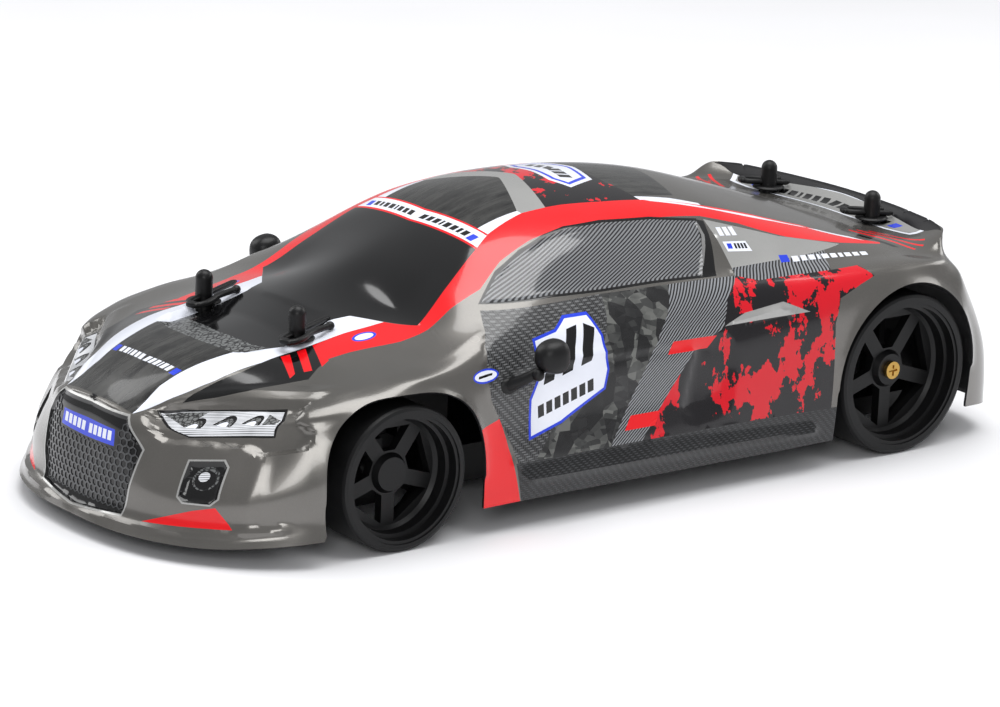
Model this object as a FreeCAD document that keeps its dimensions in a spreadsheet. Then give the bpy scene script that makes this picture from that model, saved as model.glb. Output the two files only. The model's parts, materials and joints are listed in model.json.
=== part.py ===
import FreeCAD, Part
import math
import os
import re
import Sketcher
from FreeCAD import Rotation, Vector

# A 1:10 rear-wheel-drive drift car.  Millimetres, +Z up, front towards -Y, left side +X.
# The origin is the middle of the footprint, on the ground.

doc = FreeCAD.newDocument("drift_car")

# ---------------------------------------------------------------- driving dimensions
DIMENSIONS = [
    ("wheelbase", 257.0, "front to rear axle"),
    ("front_axle", -114.5, "front axle, along Y"),
    ("front_tyre", 28.6, "front tyre radius"),
    ("front_bead", 25.5, "front rim radius"),
    ("rear_tyre", 34.2, "rear tyre radius"),
    ("rear_bead", 30.2, "rear rim radius"),
    ("track_half", 90.0, "outer wheel face, from the middle"),
    ("tyre_width", 26.0, "tyre width"),
    ("floor_low", 7.0, "underside of the tub"),
    ("floor_plate", 2.5, "tub floor thickness"),
    ("post_radius", 3.5, "body post radius"),
    ("front_post_x", 32.1, "front posts, from the middle"),
    ("front_post_y", -125.8, "front posts, along Y"),
    ("front_post_top", 85.1, "front posts, top"),
    ("rear_post_x", 33.2, "rear posts, from the middle"),
    ("rear_post_y", 171.7, "rear posts, along Y"),
    ("rear_post_top", 97.7, "rear posts, top"),
    ("front_clip_drop", 11.8, "front clip hole below the post top"),
    ("rear_clip_drop", 10.8, "rear clip hole below the post top"),
    ("clip_wire", 0.9, "clip wire radius"),
    ("arm_pivot_x", 22.0, "front arm hinge, from the middle"),
    ("arm_pivot_z", 14.0, "front arm hinge height"),
    ("kingpin_x", 60.0, "kingpin, from the middle"),
    ("steer_arm", 14.0, "kingpin to tie rod ball"),
    ("pin_radius", 1.5, "hinge pin radius"),
    ("pin_play", 0.05, "running play on a pin, radial"),
    ("spindle_radius", 2.5, "front spindle radius"),
    ("axle_radius", 3.0, "rear axle radius"),
    ("pod_pivot_y", 86.0, "rear pod hinge, along Y"),
    ("pod_pivot_z", 14.0, "rear pod hinge height"),
    ("gear_module", 1.0, "gear module"),
    ("spur_teeth", 44.0, "teeth on the spur gear"),
    ("pinion_teeth", 11.0, "teeth on the motor pinion"),
    ("shell_wall", 1.1, "shell thickness"),
]
sheet = doc.addObject("Spreadsheet::Sheet", "Dims")
for row, (alias, value, note) in enumerate(DIMENSIONS, start=1):
    sheet.set(f"A{row}", note)
    sheet.set(f"B{row}", str(value))
    sheet.setAlias(f"B{row}", alias)
doc.recompute()
ALIASES = {alias for alias, _, _ in DIMENSIONS}
SIZE = {alias: float(sheet.get(alias)) for alias in ALIASES}
REAR_AXLE = SIZE["front_axle"] + SIZE["wheelbase"]
SIDES = (("left", 1), ("right", -1))


# ---------------------------------------------------------------- helpers
def bound(text):
    """An expression on the sheet, from words that are its aliases."""
    return re.sub(r"[a-z_]+", lambda word: "Dims." + word[0] if word[0] in ALIASES else word[0], str(text))


def tie(piece, **sizes):
    for name, text in sizes.items():
        piece.setExpression(name.replace("_base_", "Placement.Base."), bound(text))
    return piece


def block(name, x, y, z):
    """A box from three (low, high) pairs of expressions."""
    box = doc.addObject("Part::Box", name)
    tie(box, Length=f"({x[1]}) - ({x[0]})", Width=f"({y[1]}) - ({y[0]})", Height=f"({z[1]}) - ({z[0]})",
        _base_x=x[0], _base_y=y[0], _base_z=z[0])
    return box


TURNS = {"X": Rotation(Vector(0, 1, 0), 90), "Y": Rotation(Vector(1, 0, 0), -90), "Z": Rotation()}


def rod(name, axis, radius, span, at):
    """A cylinder along an axis from span[0] to span[1]; at gives the other two places in X, Y, Z order."""
    cylinder = doc.addObject("Part::Cylinder", name)
    cylinder.Placement = FreeCAD.Placement(Vector(), TURNS[axis])
    place = dict(zip([a for a in "XYZ" if a != axis], at))
    place[axis] = span[0]
    tie(cylinder, Radius=radius, Height=f"({span[1]}) - ({span[0]})",
        _base_x=place["X"], _base_y=place["Y"], _base_z=place["Z"])
    return cylinder


def both(side, x):
    """The (low, high) pair of a span in x, mirrored for the right side."""
    return x if side > 0 else (f"-({x[1]})", f"-({x[0]})")


def joined(name, pieces):
    fuse = doc.addObject("Part::MultiFuse", name)
    fuse.Shapes = pieces
    return fuse


def group(name, pieces):
    """Identical separate solids in one node."""
    compound = doc.addObject("Part::Compound", name)
    compound.Links = pieces
    return compound


def without(name, base, tools):
    cut = doc.addObject("Part::Cut", name)
    cut.Base = base
    cut.Tool = tools[0] if len(tools) == 1 else joined(name + "_tools", tools)
    return cut


def solid(name, shape):
    """A sub-part made by Part's own functions, where a feature doesn't fit."""
    piece = doc.addObject("Part::Feature", name)
    piece.Shape = shape
    return piece


def origin_plane(body, role):
    return next(f for f in body.Origin.OriginFeatures if f.Role == role)


def outline(body, name, role, points):
    """A closed sketch of straight lines whose corners are bound to the sheet."""
    sketch = body.newObject("Sketcher::SketchObject", name)
    sketch.AttachmentSupport = [(origin_plane(body, role), "")]
    sketch.MapMode = "FlatFace"
    scratch = doc.addObject("App::FeaturePython", name + "_reader")
    scratch.addProperty("App::PropertyFloat", "value")
    corners = []
    for point in points:
        pair = []
        for text in point:
            scratch.setExpression("value", bound(text))
            scratch.recompute()
            pair.append(scratch.value)
        corners.append(Vector(*pair))
    doc.removeObject(scratch.Name)
    count = len(corners)
    for index, corner in enumerate(corners):
        sketch.addGeometry(Part.LineSegment(corner, corners[(index + 1) % count]), False)
    for index in range(count):
        sketch.addConstraint(Sketcher.Constraint("Coincident", index, 2, (index + 1) % count, 1))
    for index, point in enumerate(points):
        for kind, text, value in zip(("DistanceX", "DistanceY"), point, corners[index]):
            number = sketch.addConstraint(Sketcher.Constraint(kind, -1, 1, index, 1, value))
            if any(alias in str(text) for alias in ALIASES):
                sketch.setExpression(f"Constraints[{number}]", bound(text))
    return sketch


def turned(name, profile, y, height):
    """A PartDesign body turned about the X direction from (x, radius) points, at a Y and a height."""
    body = doc.addObject("PartDesign::Body", name)
    sketch = outline(body, name + "_profile", "XY_Plane", profile)
    turn = body.newObject("PartDesign::Revolution", name + "_turn")
    turn.Profile = sketch
    turn.ReferenceAxis = (sketch, ["H_Axis"])
    turn.Angle = 360
    tie(body, _base_y=y, _base_z=height)
    doc.recompute()
    return body


def sided(side, profile):
    return [(x if side > 0 else f"-({x})", r) for x, r in profile]


def swept(path, radius):
    """A round bar along a wire."""
    start = path.Edges[0]
    ring = Part.Circle(start.valueAt(start.FirstParameter), start.tangentAt(start.FirstParameter), radius)
    return path.makePipeShell([Part.Wire(ring.toShape())], True, False)


def rounded_path(points):
    """Straight runs joined by tangent arcs, each as large as its two runs allow."""
    edges = []
    last = points[0]
    for before, corner, after in zip(points, points[1:], points[2:]):
        reach = 0.45 * min((corner - before).Length, (after - corner).Length)
        into = (corner - before).normalize()
        out = (after - corner).normalize()
        turn = into.getAngle(out)
        bend = reach / math.tan(turn / 2)
        middle_way = (out - into).normalize()
        start = corner - into * reach
        end = corner + out * reach
        middle = corner + middle_way * (bend / math.cos(turn / 2) - bend)
        print(f"bend radius {bend:.1f}")
        edges.append(Part.makeLine(last, start))
        edges.append(Part.Arc(start, middle, end).toShape())
        last = end
    edges.append(Part.makeLine(last, points[-1]))
    return Part.Wire(edges)


# ---------------------------------------------------------------- shell
# Half sections of the shell, front to rear: y, then (x, z) at the lower edge, the widest line,
# the shoulder,
# the foot of the cabin and the edge of the roof or bonnet panel, then the height in the middle.
SECTIONS = [
    (-208.0, (24, 7), (22, 8), (18, 9.5), (12, 10), (6, 10.5), 10.5),
    (-202.0, (42, 7), (32, 10), (24, 22), (14, 30), (8, 32), 33.0),
    (-196.0, (54, 7), (47, 16), (36, 38), (22, 48.5), (12, 50.5), 51.0),
    (-184.0, (70, 8), (64, 20), (50, 42), (36, 51), (20, 56.5), 58.0),
    (-168.0, (85, 9), (80, 24), (69, 46), (52, 54.5), (26, 63), 65.5),
    (-148.0, (90, 10), (90, 32), (83.5, 51.5), (70, 59.5), (33, 67.5), 70.0),
    (-114.5, (91, 11), (92.7, 41), (88.5, 60), (77, 66.8), (43, 70.5), 73.5),
    (-103.0, (91, 11.3), (92.3, 41), (88, 61), (77, 68.5), (46, 72.5), 75.5),
    (-86.0, (90, 11.5), (91.5, 41), (87, 61.5), (76.5, 71), (52.5, 77.5), 86.0),
    (-60.0, (90, 11.5), (91, 40), (85, 64), (73, 79.5), (46, 93), 98.0),
    (-38.0, (90, 11.5), (90.5, 40), (84, 68), (71, 82), (40, 104), 109.0),
    (-8.0, (90, 11.5), (90.5, 40), (84, 69), (70, 84), (43, 110), 116.0),
    (30.0, (90, 11.5), (90.5, 40), (84, 70), (70, 85), (43, 110.5), 116.5),
    (65.0, (90, 11.5), (91, 42), (85, 72), (70, 85), (42, 107), 112.5),
    (100.0, (91, 12), (93, 46), (88, 77), (69, 85), (40, 98), 103.5),
    (142.5, (91, 13), (94, 52), (90, 79), (72, 83), (44, 87), 91.0),
    (170.0, (89, 15), (92.5, 46), (87, 74), (77, 79.5), (50, 82.5), 83.6),
    (179.0, (87, 15), (91, 44), (84, 68), (77, 78), (50, 82.6), 83.4),
    (187.0, (84.5, 14), (88, 40), (79, 62), (70, 73), (50, 88.3), 89.2),
    (195.0, (80.5, 13), (84, 36), (77, 53), (68, 57), (44, 58), 59.0),
    (202.0, (77, 12), (80, 30), (75, 42), (64, 46), (40, 47), 47.5),
    (208.0, (74, 10), (76, 19), (72, 25), (60, 28), (36, 29), 29.5),
]
ARCHES = [  # centre along Y, centre height, half width, top height, squareness (2 is an ellipse)
    (SIZE["front_axle"] + 0.5, 25.0, 37.0, 61.4, 2.7),  # full enough for the steered tyre's corner
    (REAR_AXLE - 0.8, 34.0, 38.8, 73.8, 2.0),
]
POST_HOLE_PLAY = 0.6


def section_wire(section, inset, drop):
    """One closed section; inset moves it inwards, drop lowers its open edge."""
    y, low, wide, shoulder, foot, edge, middle = section
    half = [(low[0] - inset, low[1] - drop), (wide[0] - inset, wide[1] - inset / 2),
            (shoulder[0] - inset, shoulder[1] - inset), (foot[0] - inset * 0.6, foot[1] - inset),
            (edge[0] - inset * 0.6, edge[1] - inset)]
    points = [Vector(x, y, z) for x, z in half] + [Vector(0, y, middle - inset)]
    points += [Vector(-x, y, z) for x, z in reversed(half)]
    return Part.makePolygon(points + points[:1])


def arch_prism(centre, height, half_width, top, squareness):
    """The opening of one pair of wheel arches: an arched door shape, right through the car."""
    rise = top - height
    count = 24
    power = 2.0 / squareness
    rim = []
    for i in range(count + 1):
        across, up = math.cos(math.pi * i / count), math.sin(math.pi * i / count)
        along = centre - half_width * math.copysign(abs(across) ** power, across)
        rim.append(Vector(0, along, height + rise * max(up, 0.0) ** power))
    rim = [Vector(0, centre - half_width, -5)] + rim + [Vector(0, centre + half_width, -5)]
    face = Part.Face(Part.makePolygon(rim + rim[:1]))
    outside = 110.0
    inside = 62.0
    prisms = [face.extrude(Vector(outside - inside, 0, 0)) for _ in SIDES]
    prisms[0].translate(Vector(inside, 0, 0))
    prisms[1].translate(Vector(-outside, 0, 0))
    return prisms


def make_shell():
    wall = SIZE["shell_wall"]
    outer = Part.makeLoft([section_wire(s, 0, 0) for s in SECTIONS], True, True)
    inner_sections = []
    for index, section in enumerate(SECTIONS):
        y = section[0]
        if index < 2:
            y += wall * (2 - index)
        if index > len(SECTIONS) - 6:
            y -= wall * 1.2
        inner_sections.append((y,) + section[1:])
    inner = Part.makeLoft([section_wire(s, wall, 8) for s in inner_sections], True, True)
    tools = [inner]
    for arch in ARCHES:
        tools += arch_prism(*arch)
    for x, y in (("front_post_x", "front_post_y"), ("rear_post_x", "rear_post_y")):
        for _, side in SIDES:
            hole = Part.makeCylinder(SIZE["post_radius"] + POST_HOLE_PLAY, 80,
                                     Vector(side * SIZE[x], SIZE[y], 45))
            tools.append(hole)
    return outer.cut(tools)


solid("body_shell", make_shell())

# ---------------------------------------------------------------- mirrors
MIRROR_Y = -52.0
MIRROR_Z = 70.5
for word, side in SIDES:
    pod = Part.makeBox(12, 14, 15, Vector(-6, -7, -7.5))
    pod = pod.makeFillet(3.5, pod.Edges)
    tip = Part.makeSphere(2.6, Vector(-5.5, -10.5, -2.5))
    neck = Part.makeCylinder(1.5, 6, Vector(-5.5, -10.5, -2.5), Vector(0, 1, 0))
    stalk = Part.makeCylinder(1.6, 13.0, Vector(0, 0, 0), Vector(-0.95, -0.25, -1.5))
    foot = Part.makeCylinder(2.6, 1.6, Vector(-6.3, -1.7, -10.2), Vector(1, 0.1, 0.5))
    shape = pod.fuse([tip, neck, stalk, foot])
    mirror = solid("mirror_" + word, shape if side > 0 else shape.mirror(Vector(), Vector(1, 0, 0)))
    mirror.Placement.Base = Vector(side * 97.5, MIRROR_Y, MIRROR_Z)

# ---------------------------------------------------------------- body clips
CLIP_LOOP = 11.5        # post to the loop's end
CLIP_GAP = 6.2          # between the two legs
# per end: post to the tip of the straight leg, side of the second leg,
# turn about Z and tilt about X in degrees
CLIPS = {"front": (21.0, 1, 19.0, 8.0), "rear": (9.0, -1, -23.0, -6.0)}


def clip_turn(end):
    _, _, turn, tilt = CLIPS[end]
    return Rotation(Vector(0, 0, 1), turn).multiply(Rotation(Vector(1, 0, 0), tilt))


def clip_shape(tip, side):
    """A moulded R clip, its straight leg along Y through the origin and its loop towards -Y."""
    bend = CLIP_GAP / 2
    straight_end = -CLIP_LOOP + bend
    second = tip * 0.62
    outer = Vector(side * CLIP_GAP, straight_end, 0)
    loop = Part.Arc(Vector(0, straight_end, 0), Vector(side * bend, -CLIP_LOOP, 0), outer).toShape()
    leg = Part.makeLine(Vector(0, tip, 0), Vector(0, straight_end, 0))
    back = Part.makeLine(outer, Vector(side * CLIP_GAP, second, 0))
    bar = swept(Part.Wire([leg, loop, back]), SIZE["clip_wire"])
    return bar.fuse(Part.makeSphere(SIZE["clip_wire"] * 1.25, Vector(side * CLIP_GAP, second, 0)))


for end, (tip, bent_side, _, _) in CLIPS.items():
    for word, side in SIDES:
        clip = solid(f"body_clip_{end}_{word}", clip_shape(tip, bent_side))
        height = SIZE[end + "_post_top"] - SIZE[end + "_clip_drop"]
        place = Vector(side * SIZE[end + "_post_x"], SIZE[end + "_post_y"], height)
        clip.Placement = FreeCAD.Placement(place, clip_turn(end))

# ---------------------------------------------------------------- body mounts
CLIP_HOLE_PLAY = 0.2


def body_mount(end, bar, links, low):
    """A cross bar with two round-topped posts, each with a clip hole along the clip."""
    pieces = [bar] + links
    holes = []
    for word, side in SIDES:
        x = f"{side} * {end}_post_x"
        y = f"{end}_post_y"
        top = f"{end}_post_top - post_radius"
        pieces.append(rod(f"{end}_post_{word}", "Z", "post_radius", (low, top), (x, y)))
        dome = doc.addObject("Part::Sphere", f"{end}_dome_{word}")
        tie(dome, Radius="post_radius", _base_x=x, _base_y=y, _base_z=top)
        pieces.append(dome)
        hole = doc.addObject("Part::Cylinder", f"{end}_clip_hole_{word}")
        turn = clip_turn(end)
        hole.Placement = FreeCAD.Placement(Vector(), turn.multiply(TURNS["Y"]))
        reach = 8.0
        along = turn.multVec(Vector(0, reach, 0))
        tie(hole, Radius=f"clip_wire + {CLIP_HOLE_PLAY}", Height=2 * reach,
            _base_x=f"{x} - ({along.x})", _base_y=f"{y} - ({along.y})",
            _base_z=f"{end}_post_top - {end}_clip_drop - ({along.z})")
        holes.append(hole)
    return without(f"{end}_body_mount", joined(f"{end}_mount_plus", pieces), holes)


body_mount("front", block("front_mount_bar", (-36, 36), (-131, -121.5), (48, 54)),
           [block("front_mount_stem", (-8, 8), (-131, -121.5), (36, 48))], 50)
body_mount("rear", block("rear_mount_bar", (-38, 38), (167, 176.5), (66, 71)),
           [block(f"rear_mount_link_{word}", both(side, (8, 18)), (161.0, 167), (67.5, 71))
            for word, side in SIDES],
           68)

# ---------------------------------------------------------------- chassis
FLOOR_TOP = "floor_low + floor_plate"
SCREW_PLACES = [(-12, -128), (12, -128), (-12, -115), (12, -115), (-52, 70), (52, 70),
                (-52, 175), (52, 175), (-14, -165), (14, -165)]
SCREW_HEAD, SCREW_DEPTH, SCREW_PLAY = 2.6, 1.2, 0.1
tub_floor = joined("tub_floor", [
    block("floor_middle", (-46, 46), (-80, 82), ("floor_low", FLOOR_TOP)),
    block("floor_nose", (-26, 26), (-176, -80), ("floor_low", FLOOR_TOP)),
])
tub_plus = [tub_floor]
for word, side in SIDES:
    tub_plus += [
        block(f"tub_wall_{word}", both(side, (44, 46)), (-72, 82), ("floor_low", 22)),
        block(f"rail_{word}", both(side, (46, 57)), (62, 192), ("floor_low", 15)),
        block(f"pod_lug_{word}", both(side, (40, 44)), (80, 91), ("floor_low", 19)),
        block(f"rear_lug_front_arm_{word}", both(side, (18, 26)), (-97.5, -93.5), ("floor_low", 18)),
        block(f"servo_foot_{word}", ("10 + " + str(side * 17.5 - 3), "10 + " + str(side * 17.5 + 3)),
              (-84, -52), ("floor_low", 26.8)),
        block(f"strap_ear_{word}", (45, 50), (25 + side * 9 - 1.5, 25 + side * 9 + 1.5), (15, 39)),
    ]
tub_plus += [
    block("tub_step", (-46, 46), (-72, -70), ("floor_low", 22)),
    block("tail_beam", (-57, 57), (184, 192), ("floor_low", 15)),
    block("battery_fence", (1.0, 2.6), (-40, 78), ("floor_low", 20)),
]
tub_minus = [
    rod("pod_pin_hole", "X", "pin_radius + 0.02", (-50, 50), ("pod_pivot_y", "pod_pivot_z")),
    rod("strap_pin_hole", "Y", 1.3, (10, 40), (47.5, 36)),
]
for word, side in SIDES:
    tub_minus.append(rod(f"rear_lug_hole_{word}", "Y", "pin_radius + 0.02", (-99, -92),
                         (f"{side} * arm_pivot_x", "arm_pivot_z")))
for index, place in enumerate(SCREW_PLACES):
    tub_minus.append(rod(f"screw_seat_{index}", "Z", SCREW_HEAD + SCREW_PLAY,
                         (5, SIZE["floor_low"] + SCREW_DEPTH), place))
without("chassis_tub", joined("tub_all", tub_plus), tub_minus)

bulkhead_plus = [
    block("bulkhead_block", (-17, 17), (-134, -110), (FLOOR_TOP, 36)),
    block("bulkhead_ears", (-26, 26), (-136, -132), (FLOOR_TOP, 18)),
    block("rack_cradle_low", (-9, 9), (-110, -98.3), (FLOOR_TOP, 19.8)),
]
bulkhead_minus = [rod(f"front_lug_hole_{word}", "Y", "pin_radius + 0.02", (-138, -130),
                      (f"{side} * arm_pivot_x", "arm_pivot_z")) for word, side in SIDES]
without("front_bulkhead", joined("bulkhead_plus", bulkhead_plus), bulkhead_minus)

pins = [rod(f"front_hinge_pin_{word}", "Y", "pin_radius", (-138, -92),
            (f"{side} * arm_pivot_x", "arm_pivot_z"))
        for word, side in SIDES]
pins.append(rod("strap_pin", "Y", 1.2, (14.0, 36.0), (47.5, 36)))
pins.append(rod("pod_hinge_pin", "X", "pin_radius", (-45, 45), ("pod_pivot_y", "pod_pivot_z")))
group("hinge_pins", pins)

bumper_body = doc.addObject("PartDesign::Body", "front_bumper")
bumper_plan = outline(bumper_body, "bumper_plan", "XY_Plane",
                      [(-54, -178), (54, -178), (46, -186), (30, -192), (-30, -192), (-46, -186)])
bumper_pad = bumper_body.newObject("PartDesign::Pad", "bumper_pad")
bumper_pad.Profile = bumper_plan
bumper_pad.Length = 24
tie(bumper_body, _base_z="floor_low + floor_plate + 2")

front_tower_holes = [rod(f"front_tower_hole_{word}", "Y", 1.25, (-110, -100), (side * 38, 62))
                     for word, side in SIDES]
front_tower_holes.append(block("front_tower_window", (-9, 9), (-110, -100), (42, 56)))
without("front_shock_tower", joined("front_tower_plate", [
    block("front_tower_top", (-44, 44), (-107.9, -104.9), (50, 67)),
    block("front_tower_stem", (-15, 15), (-109.9, -104.9), (36.0, 52)),
]), front_tower_holes)

rear_tower_plus = [block("rear_tower_top", (-57, 57), (158, 161), (66.5, 78))]
rear_tower_plus += [block(f"rear_tower_leg_{word}", both(side, (51, 57)), (158, 161), (15, 67))
                    for word, side in SIDES]
rear_tower_minus = [rod(f"rear_tower_hole_{word}", "Y", 1.25, (150, 165), (side * 44, 72))
                    for word, side in SIDES]
rear_tower_minus.append(block("rear_tower_window", (-16, 16), (150, 165), (72, 75)))
without("rear_shock_tower", joined("rear_tower_all", rear_tower_plus), rear_tower_minus)

screws = []
for x, y in SCREW_PLACES:
    head = Part.makeCylinder(SCREW_HEAD, SCREW_DEPTH, Vector(x, y, SIZE["floor_low"]))
    for length, breadth in ((3.2, 0.7), (0.7, 3.2)):
        head = head.cut(Part.makeBox(length, breadth, 0.7, Vector(x - length / 2, y - breadth / 2,
                                                                  SIZE["floor_low"])))
    screws.append(head)
solid("chassis_screws", Part.makeCompound(screws))

# ---------------------------------------------------------------- shocks
# end, x, y, height of the top eye, height of the lower eye
SHOCKS = [("front", 38.0, -114.5, 62.0, 21.0), ("rear", 44.0, 152.0, 72.0, 44.0)]
SHOCK_BODY = 4.3
SHOCK_ROD = 1.3
bodies = []
for end, x, y, top, low in SHOCKS:
    for word, side in SIDES:
        tower_face = -107.9 if end == "front" else 158.0
        body_low = top - 19
        can = Part.makeCylinder(SHOCK_BODY, top - 4 - body_low, Vector(side * x, y, body_low))
        bore = Part.makeCylinder(2.7, top - 6 - body_low, Vector(side * x, y, body_low))
        collar = Part.makeCylinder(5.9, 1.6, Vector(side * x, y, top - 8))
        eye = Part.makeBox(5, 6, 9, Vector(side * x - 2.5, y - 3, top - 5))
        stud = Part.makeCylinder(1.2, tower_face + 3.6 - y, Vector(side * x, y, top), Vector(0, 1, 0))
        bodies.append(can.fuse([collar, eye, stud]).cut(bore))
solid("shock_bodies", Part.makeCompound(bodies))


def shock_rod(x, y, top, low, play):
    """The sliding half: a rod with a piston, a spring cup and a lower eye about the Y direction."""
    shaft = Part.makeCylinder(SHOCK_ROD, top - 11 - low, Vector(x, y, low))
    piston = Part.makeCylinder(2.6, 2, Vector(x, y, top - 12))
    cup = Part.makeCylinder(5.9, 1.4, Vector(x, y, low + 4.4))
    eye = Part.makeCylinder(3.4, 4.4, Vector(x, y - 2.2, low), Vector(0, 1, 0))
    hole = Part.makeCylinder(SIZE["pin_radius"] + play, 5, Vector(x, y - 2.5, low), Vector(0, 1, 0))
    return shaft.fuse([piston, cup, eye]).cut(hole)


def spring(x, y, top, low):
    """A coil spring between the cup and the collar."""
    wire = 0.55
    foot = low + 5.8 + wire + 0.05
    length = (top - 8) - wire - 0.05 - foot
    helix = Part.makeHelix(length / 5, length, 5.15)
    start = helix.Edges[0].valueAt(helix.Edges[0].FirstParameter)
    tangent = helix.Edges[0].tangentAt(helix.Edges[0].FirstParameter)
    ring = Part.Wire(Part.Circle(start, tangent, wire).toShape())
    coil = Part.Wire(helix.Edges).makePipeShell([ring], True, True)
    coil.translate(Vector(x, y, foot))
    return coil


end, x, y, top, low = SHOCKS[0]
for word, side in SIDES:
    solid("front_shock_rod_" + word, shock_rod(side * x, y, top, low, 0.5))
    solid("front_spring_" + word, spring(side * x, y, top, low))
end, x, y, top, low = SHOCKS[1]
solid("rear_shock_rods", Part.makeCompound([shock_rod(side * x, y, top, low, 0.3) for _, side in SIDES]))
solid("rear_springs", Part.makeCompound([spring(side * x, y, top, low) for _, side in SIDES]))

# ---------------------------------------------------------------- front suspension and steering
AXLE_LOW = "front_tyre - 9.6"     # top of the lower ear of the hub block
AXLE_HIGH = "front_tyre + 9.6"    # underside of its upper ear
for word, side in SIDES:
    pivot_x = f"{side} * arm_pivot_x"
    kingpin = f"{side} * kingpin_x"
    shock_x, shock_y, shock_low = SHOCKS[0][1], SHOCKS[0][2], SHOCKS[0][4]
    arm_plus = [
        rod(f"arm_tube_{word}", "Y", 3.4, (-131.7, -97.8), (pivot_x, "arm_pivot_z")),
        block(f"arm_front_leg_{word}", both(side, (22, 48)), (-131.7, -125), (11.5, 16.5)),
        block(f"arm_rear_leg_{word}", both(side, (22, 48)), (-104.5, -97.8), (11.5, 16.5)),
        block(f"arm_bridge_{word}", both(side, (33, 50)), (-125.5, -104), (11.5, 15.6)),
        block(f"arm_outer_{word}", both(side, (46, 64)), ("front_axle - 7", "front_axle + 7"),
              (12.0, AXLE_LOW)),
        block(f"hub_block_back_{word}", both(side, (47.5, 51.5)), ("front_axle - 6.5", "front_axle + 6.5"),
              (14, "front_tyre + 13")),
        block(f"hub_block_ear_{word}", both(side, (47.5, 63.5)), ("front_axle - 5", "front_axle + 5"),
              (AXLE_HIGH, "front_tyre + 13")),
    ]
    for step in (-1, 1):
        arm_plus.append(block(f"shock_ear_{word}_{step + 2}", both(side, (35.5, 40.5)),
                              (shock_y + step * 4 - 1.5, shock_y + step * 4 + 1.5), (14, 24)))
    arm_plus.append(rod(f"shock_pin_{word}", "Y", "pin_radius", (shock_y - 5.5, shock_y + 5.5),
                        (side * shock_x, shock_low)))
    arm_minus = [
        rod(f"arm_bore_{word}", "Y", "pin_radius + pin_play", (-140, -90), (pivot_x, "arm_pivot_z")),
        rod(f"kingpin_bore_{word}", "Z", "pin_radius + 0.02", (5, 60), (kingpin, "front_axle")),
    ]
    without("front_arm_" + word, joined(f"arm_all_{word}", arm_plus), arm_minus)
    group("kingpins_" + word, [
        rod(f"kingpin_low_{word}", "Z", "pin_radius", (11.4, AXLE_LOW + " + 5"), (kingpin, "front_axle")),
        rod(f"kingpin_high_{word}", "Z", "pin_radius", (AXLE_HIGH + " - 5", "front_tyre + 14"),
            (kingpin, "front_axle")),
    ])
    knuckle_plus = [
        block(f"knuckle_block_{word}", both(side, (55.5, 65.5)), ("front_axle - 6", "front_axle + 6"),
              (AXLE_LOW + " + 0.15", AXLE_HIGH + " - 0.15")),
        block(f"steer_arm_{word}", both(side, (57.5, 62.5)),
              ("front_axle + 5", "front_axle + steer_arm + 2.6"),
              (20.2, 23.4)),
        rod(f"steer_ball_{word}", "Z", 1.4, (20.2, 28.6), (kingpin, "front_axle + steer_arm")),
        rod(f"spindle_{word}", "X", "spindle_radius", both(side, (64, 78.6)), ("front_axle", "front_tyre")),
        rod(f"spindle_step_{word}", "X", 4.2, both(side, (65, 68.4)), ("front_axle", "front_tyre")),
    ]
    knuckle_minus = [rod(f"knuckle_bore_{word}", "Z", "pin_radius + pin_play", (10, 50),
                         (kingpin, "front_axle"))]
    without("knuckle_" + word, joined(f"knuckle_all_{word}", knuckle_plus), knuckle_minus)

    eye_y = "front_axle + steer_arm"
    rod_plus = [
        rod(f"tie_outer_eye_{word}", "Z", 3.0, (24.2, 27.6), (kingpin, eye_y)),
        block(f"tie_bar_{word}", both(side, (33.0, 58.0)), (f"{eye_y} - 1.2", f"{eye_y} + 1.2"),
              (24.7, 27.1)),
        block(f"tie_inner_eye_{word}", both(side, (25.2, 34.0)), (f"{eye_y} - 2.6", f"{eye_y} + 3.9"),
              (24.2, 27.6)),
    ]
    rod_minus = [
        rod(f"tie_outer_hole_{word}", "Z", "1.4 + pin_play", (20, 30), (kingpin, eye_y)),
        block(f"tie_inner_slot_{word}", both(side, (27.0, 31.8)), (f"{eye_y} - 1.6", f"{eye_y} + 2.9"),
              (20, 30)),
    ]
    without("tie_rod_" + word, joined(f"tie_all_{word}", rod_plus), rod_minus)

rack_plus = [block("rack_bar", (-32, 32), (-103.1, -97.9), (20.0, 22.8)),
             block("rack_horn_fork", (-4.2, 4.2), (-97.9, -94.6), (18.4, 27.4))]
rack_plus += [rod(f"rack_pin_{word}", "Z", 1.4, (21, 28.6), (side * 29.4, "front_axle + steer_arm"))
              for word, side in SIDES]
without("steering_rack", joined("rack_all", rack_plus),
        [block("rack_fork_slot", (-1.9, 1.9), (-98.0, -94.0), (20.6, 30))])

SERVO_AXIS_Z = 37.0
joined("steering_servo", [
    block("servo_case", (-10, 30), (-86, -50), (27, 47)),
    block("servo_ears", (-17, 37), (-80, -77.5), (27, 47)),
    rod("servo_spline", "Y", 2.8, (-89.5, -86), (0, SERVO_AXIS_Z)),
])
joined("servo_horn", [
    rod("horn_hub", "Y", 4.6, (-93.4, -89.5), (0, SERVO_AXIS_Z)),
    block("horn_blade", (-2.2, 2.2), (-93.4, -91.2), (21.4, 37)),
    rod("horn_pin", "Y", 1.3, (-96.6, -92), (0, 23.2)),
])

# ---------------------------------------------------------------- wheels
SPOKES = 5


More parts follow.
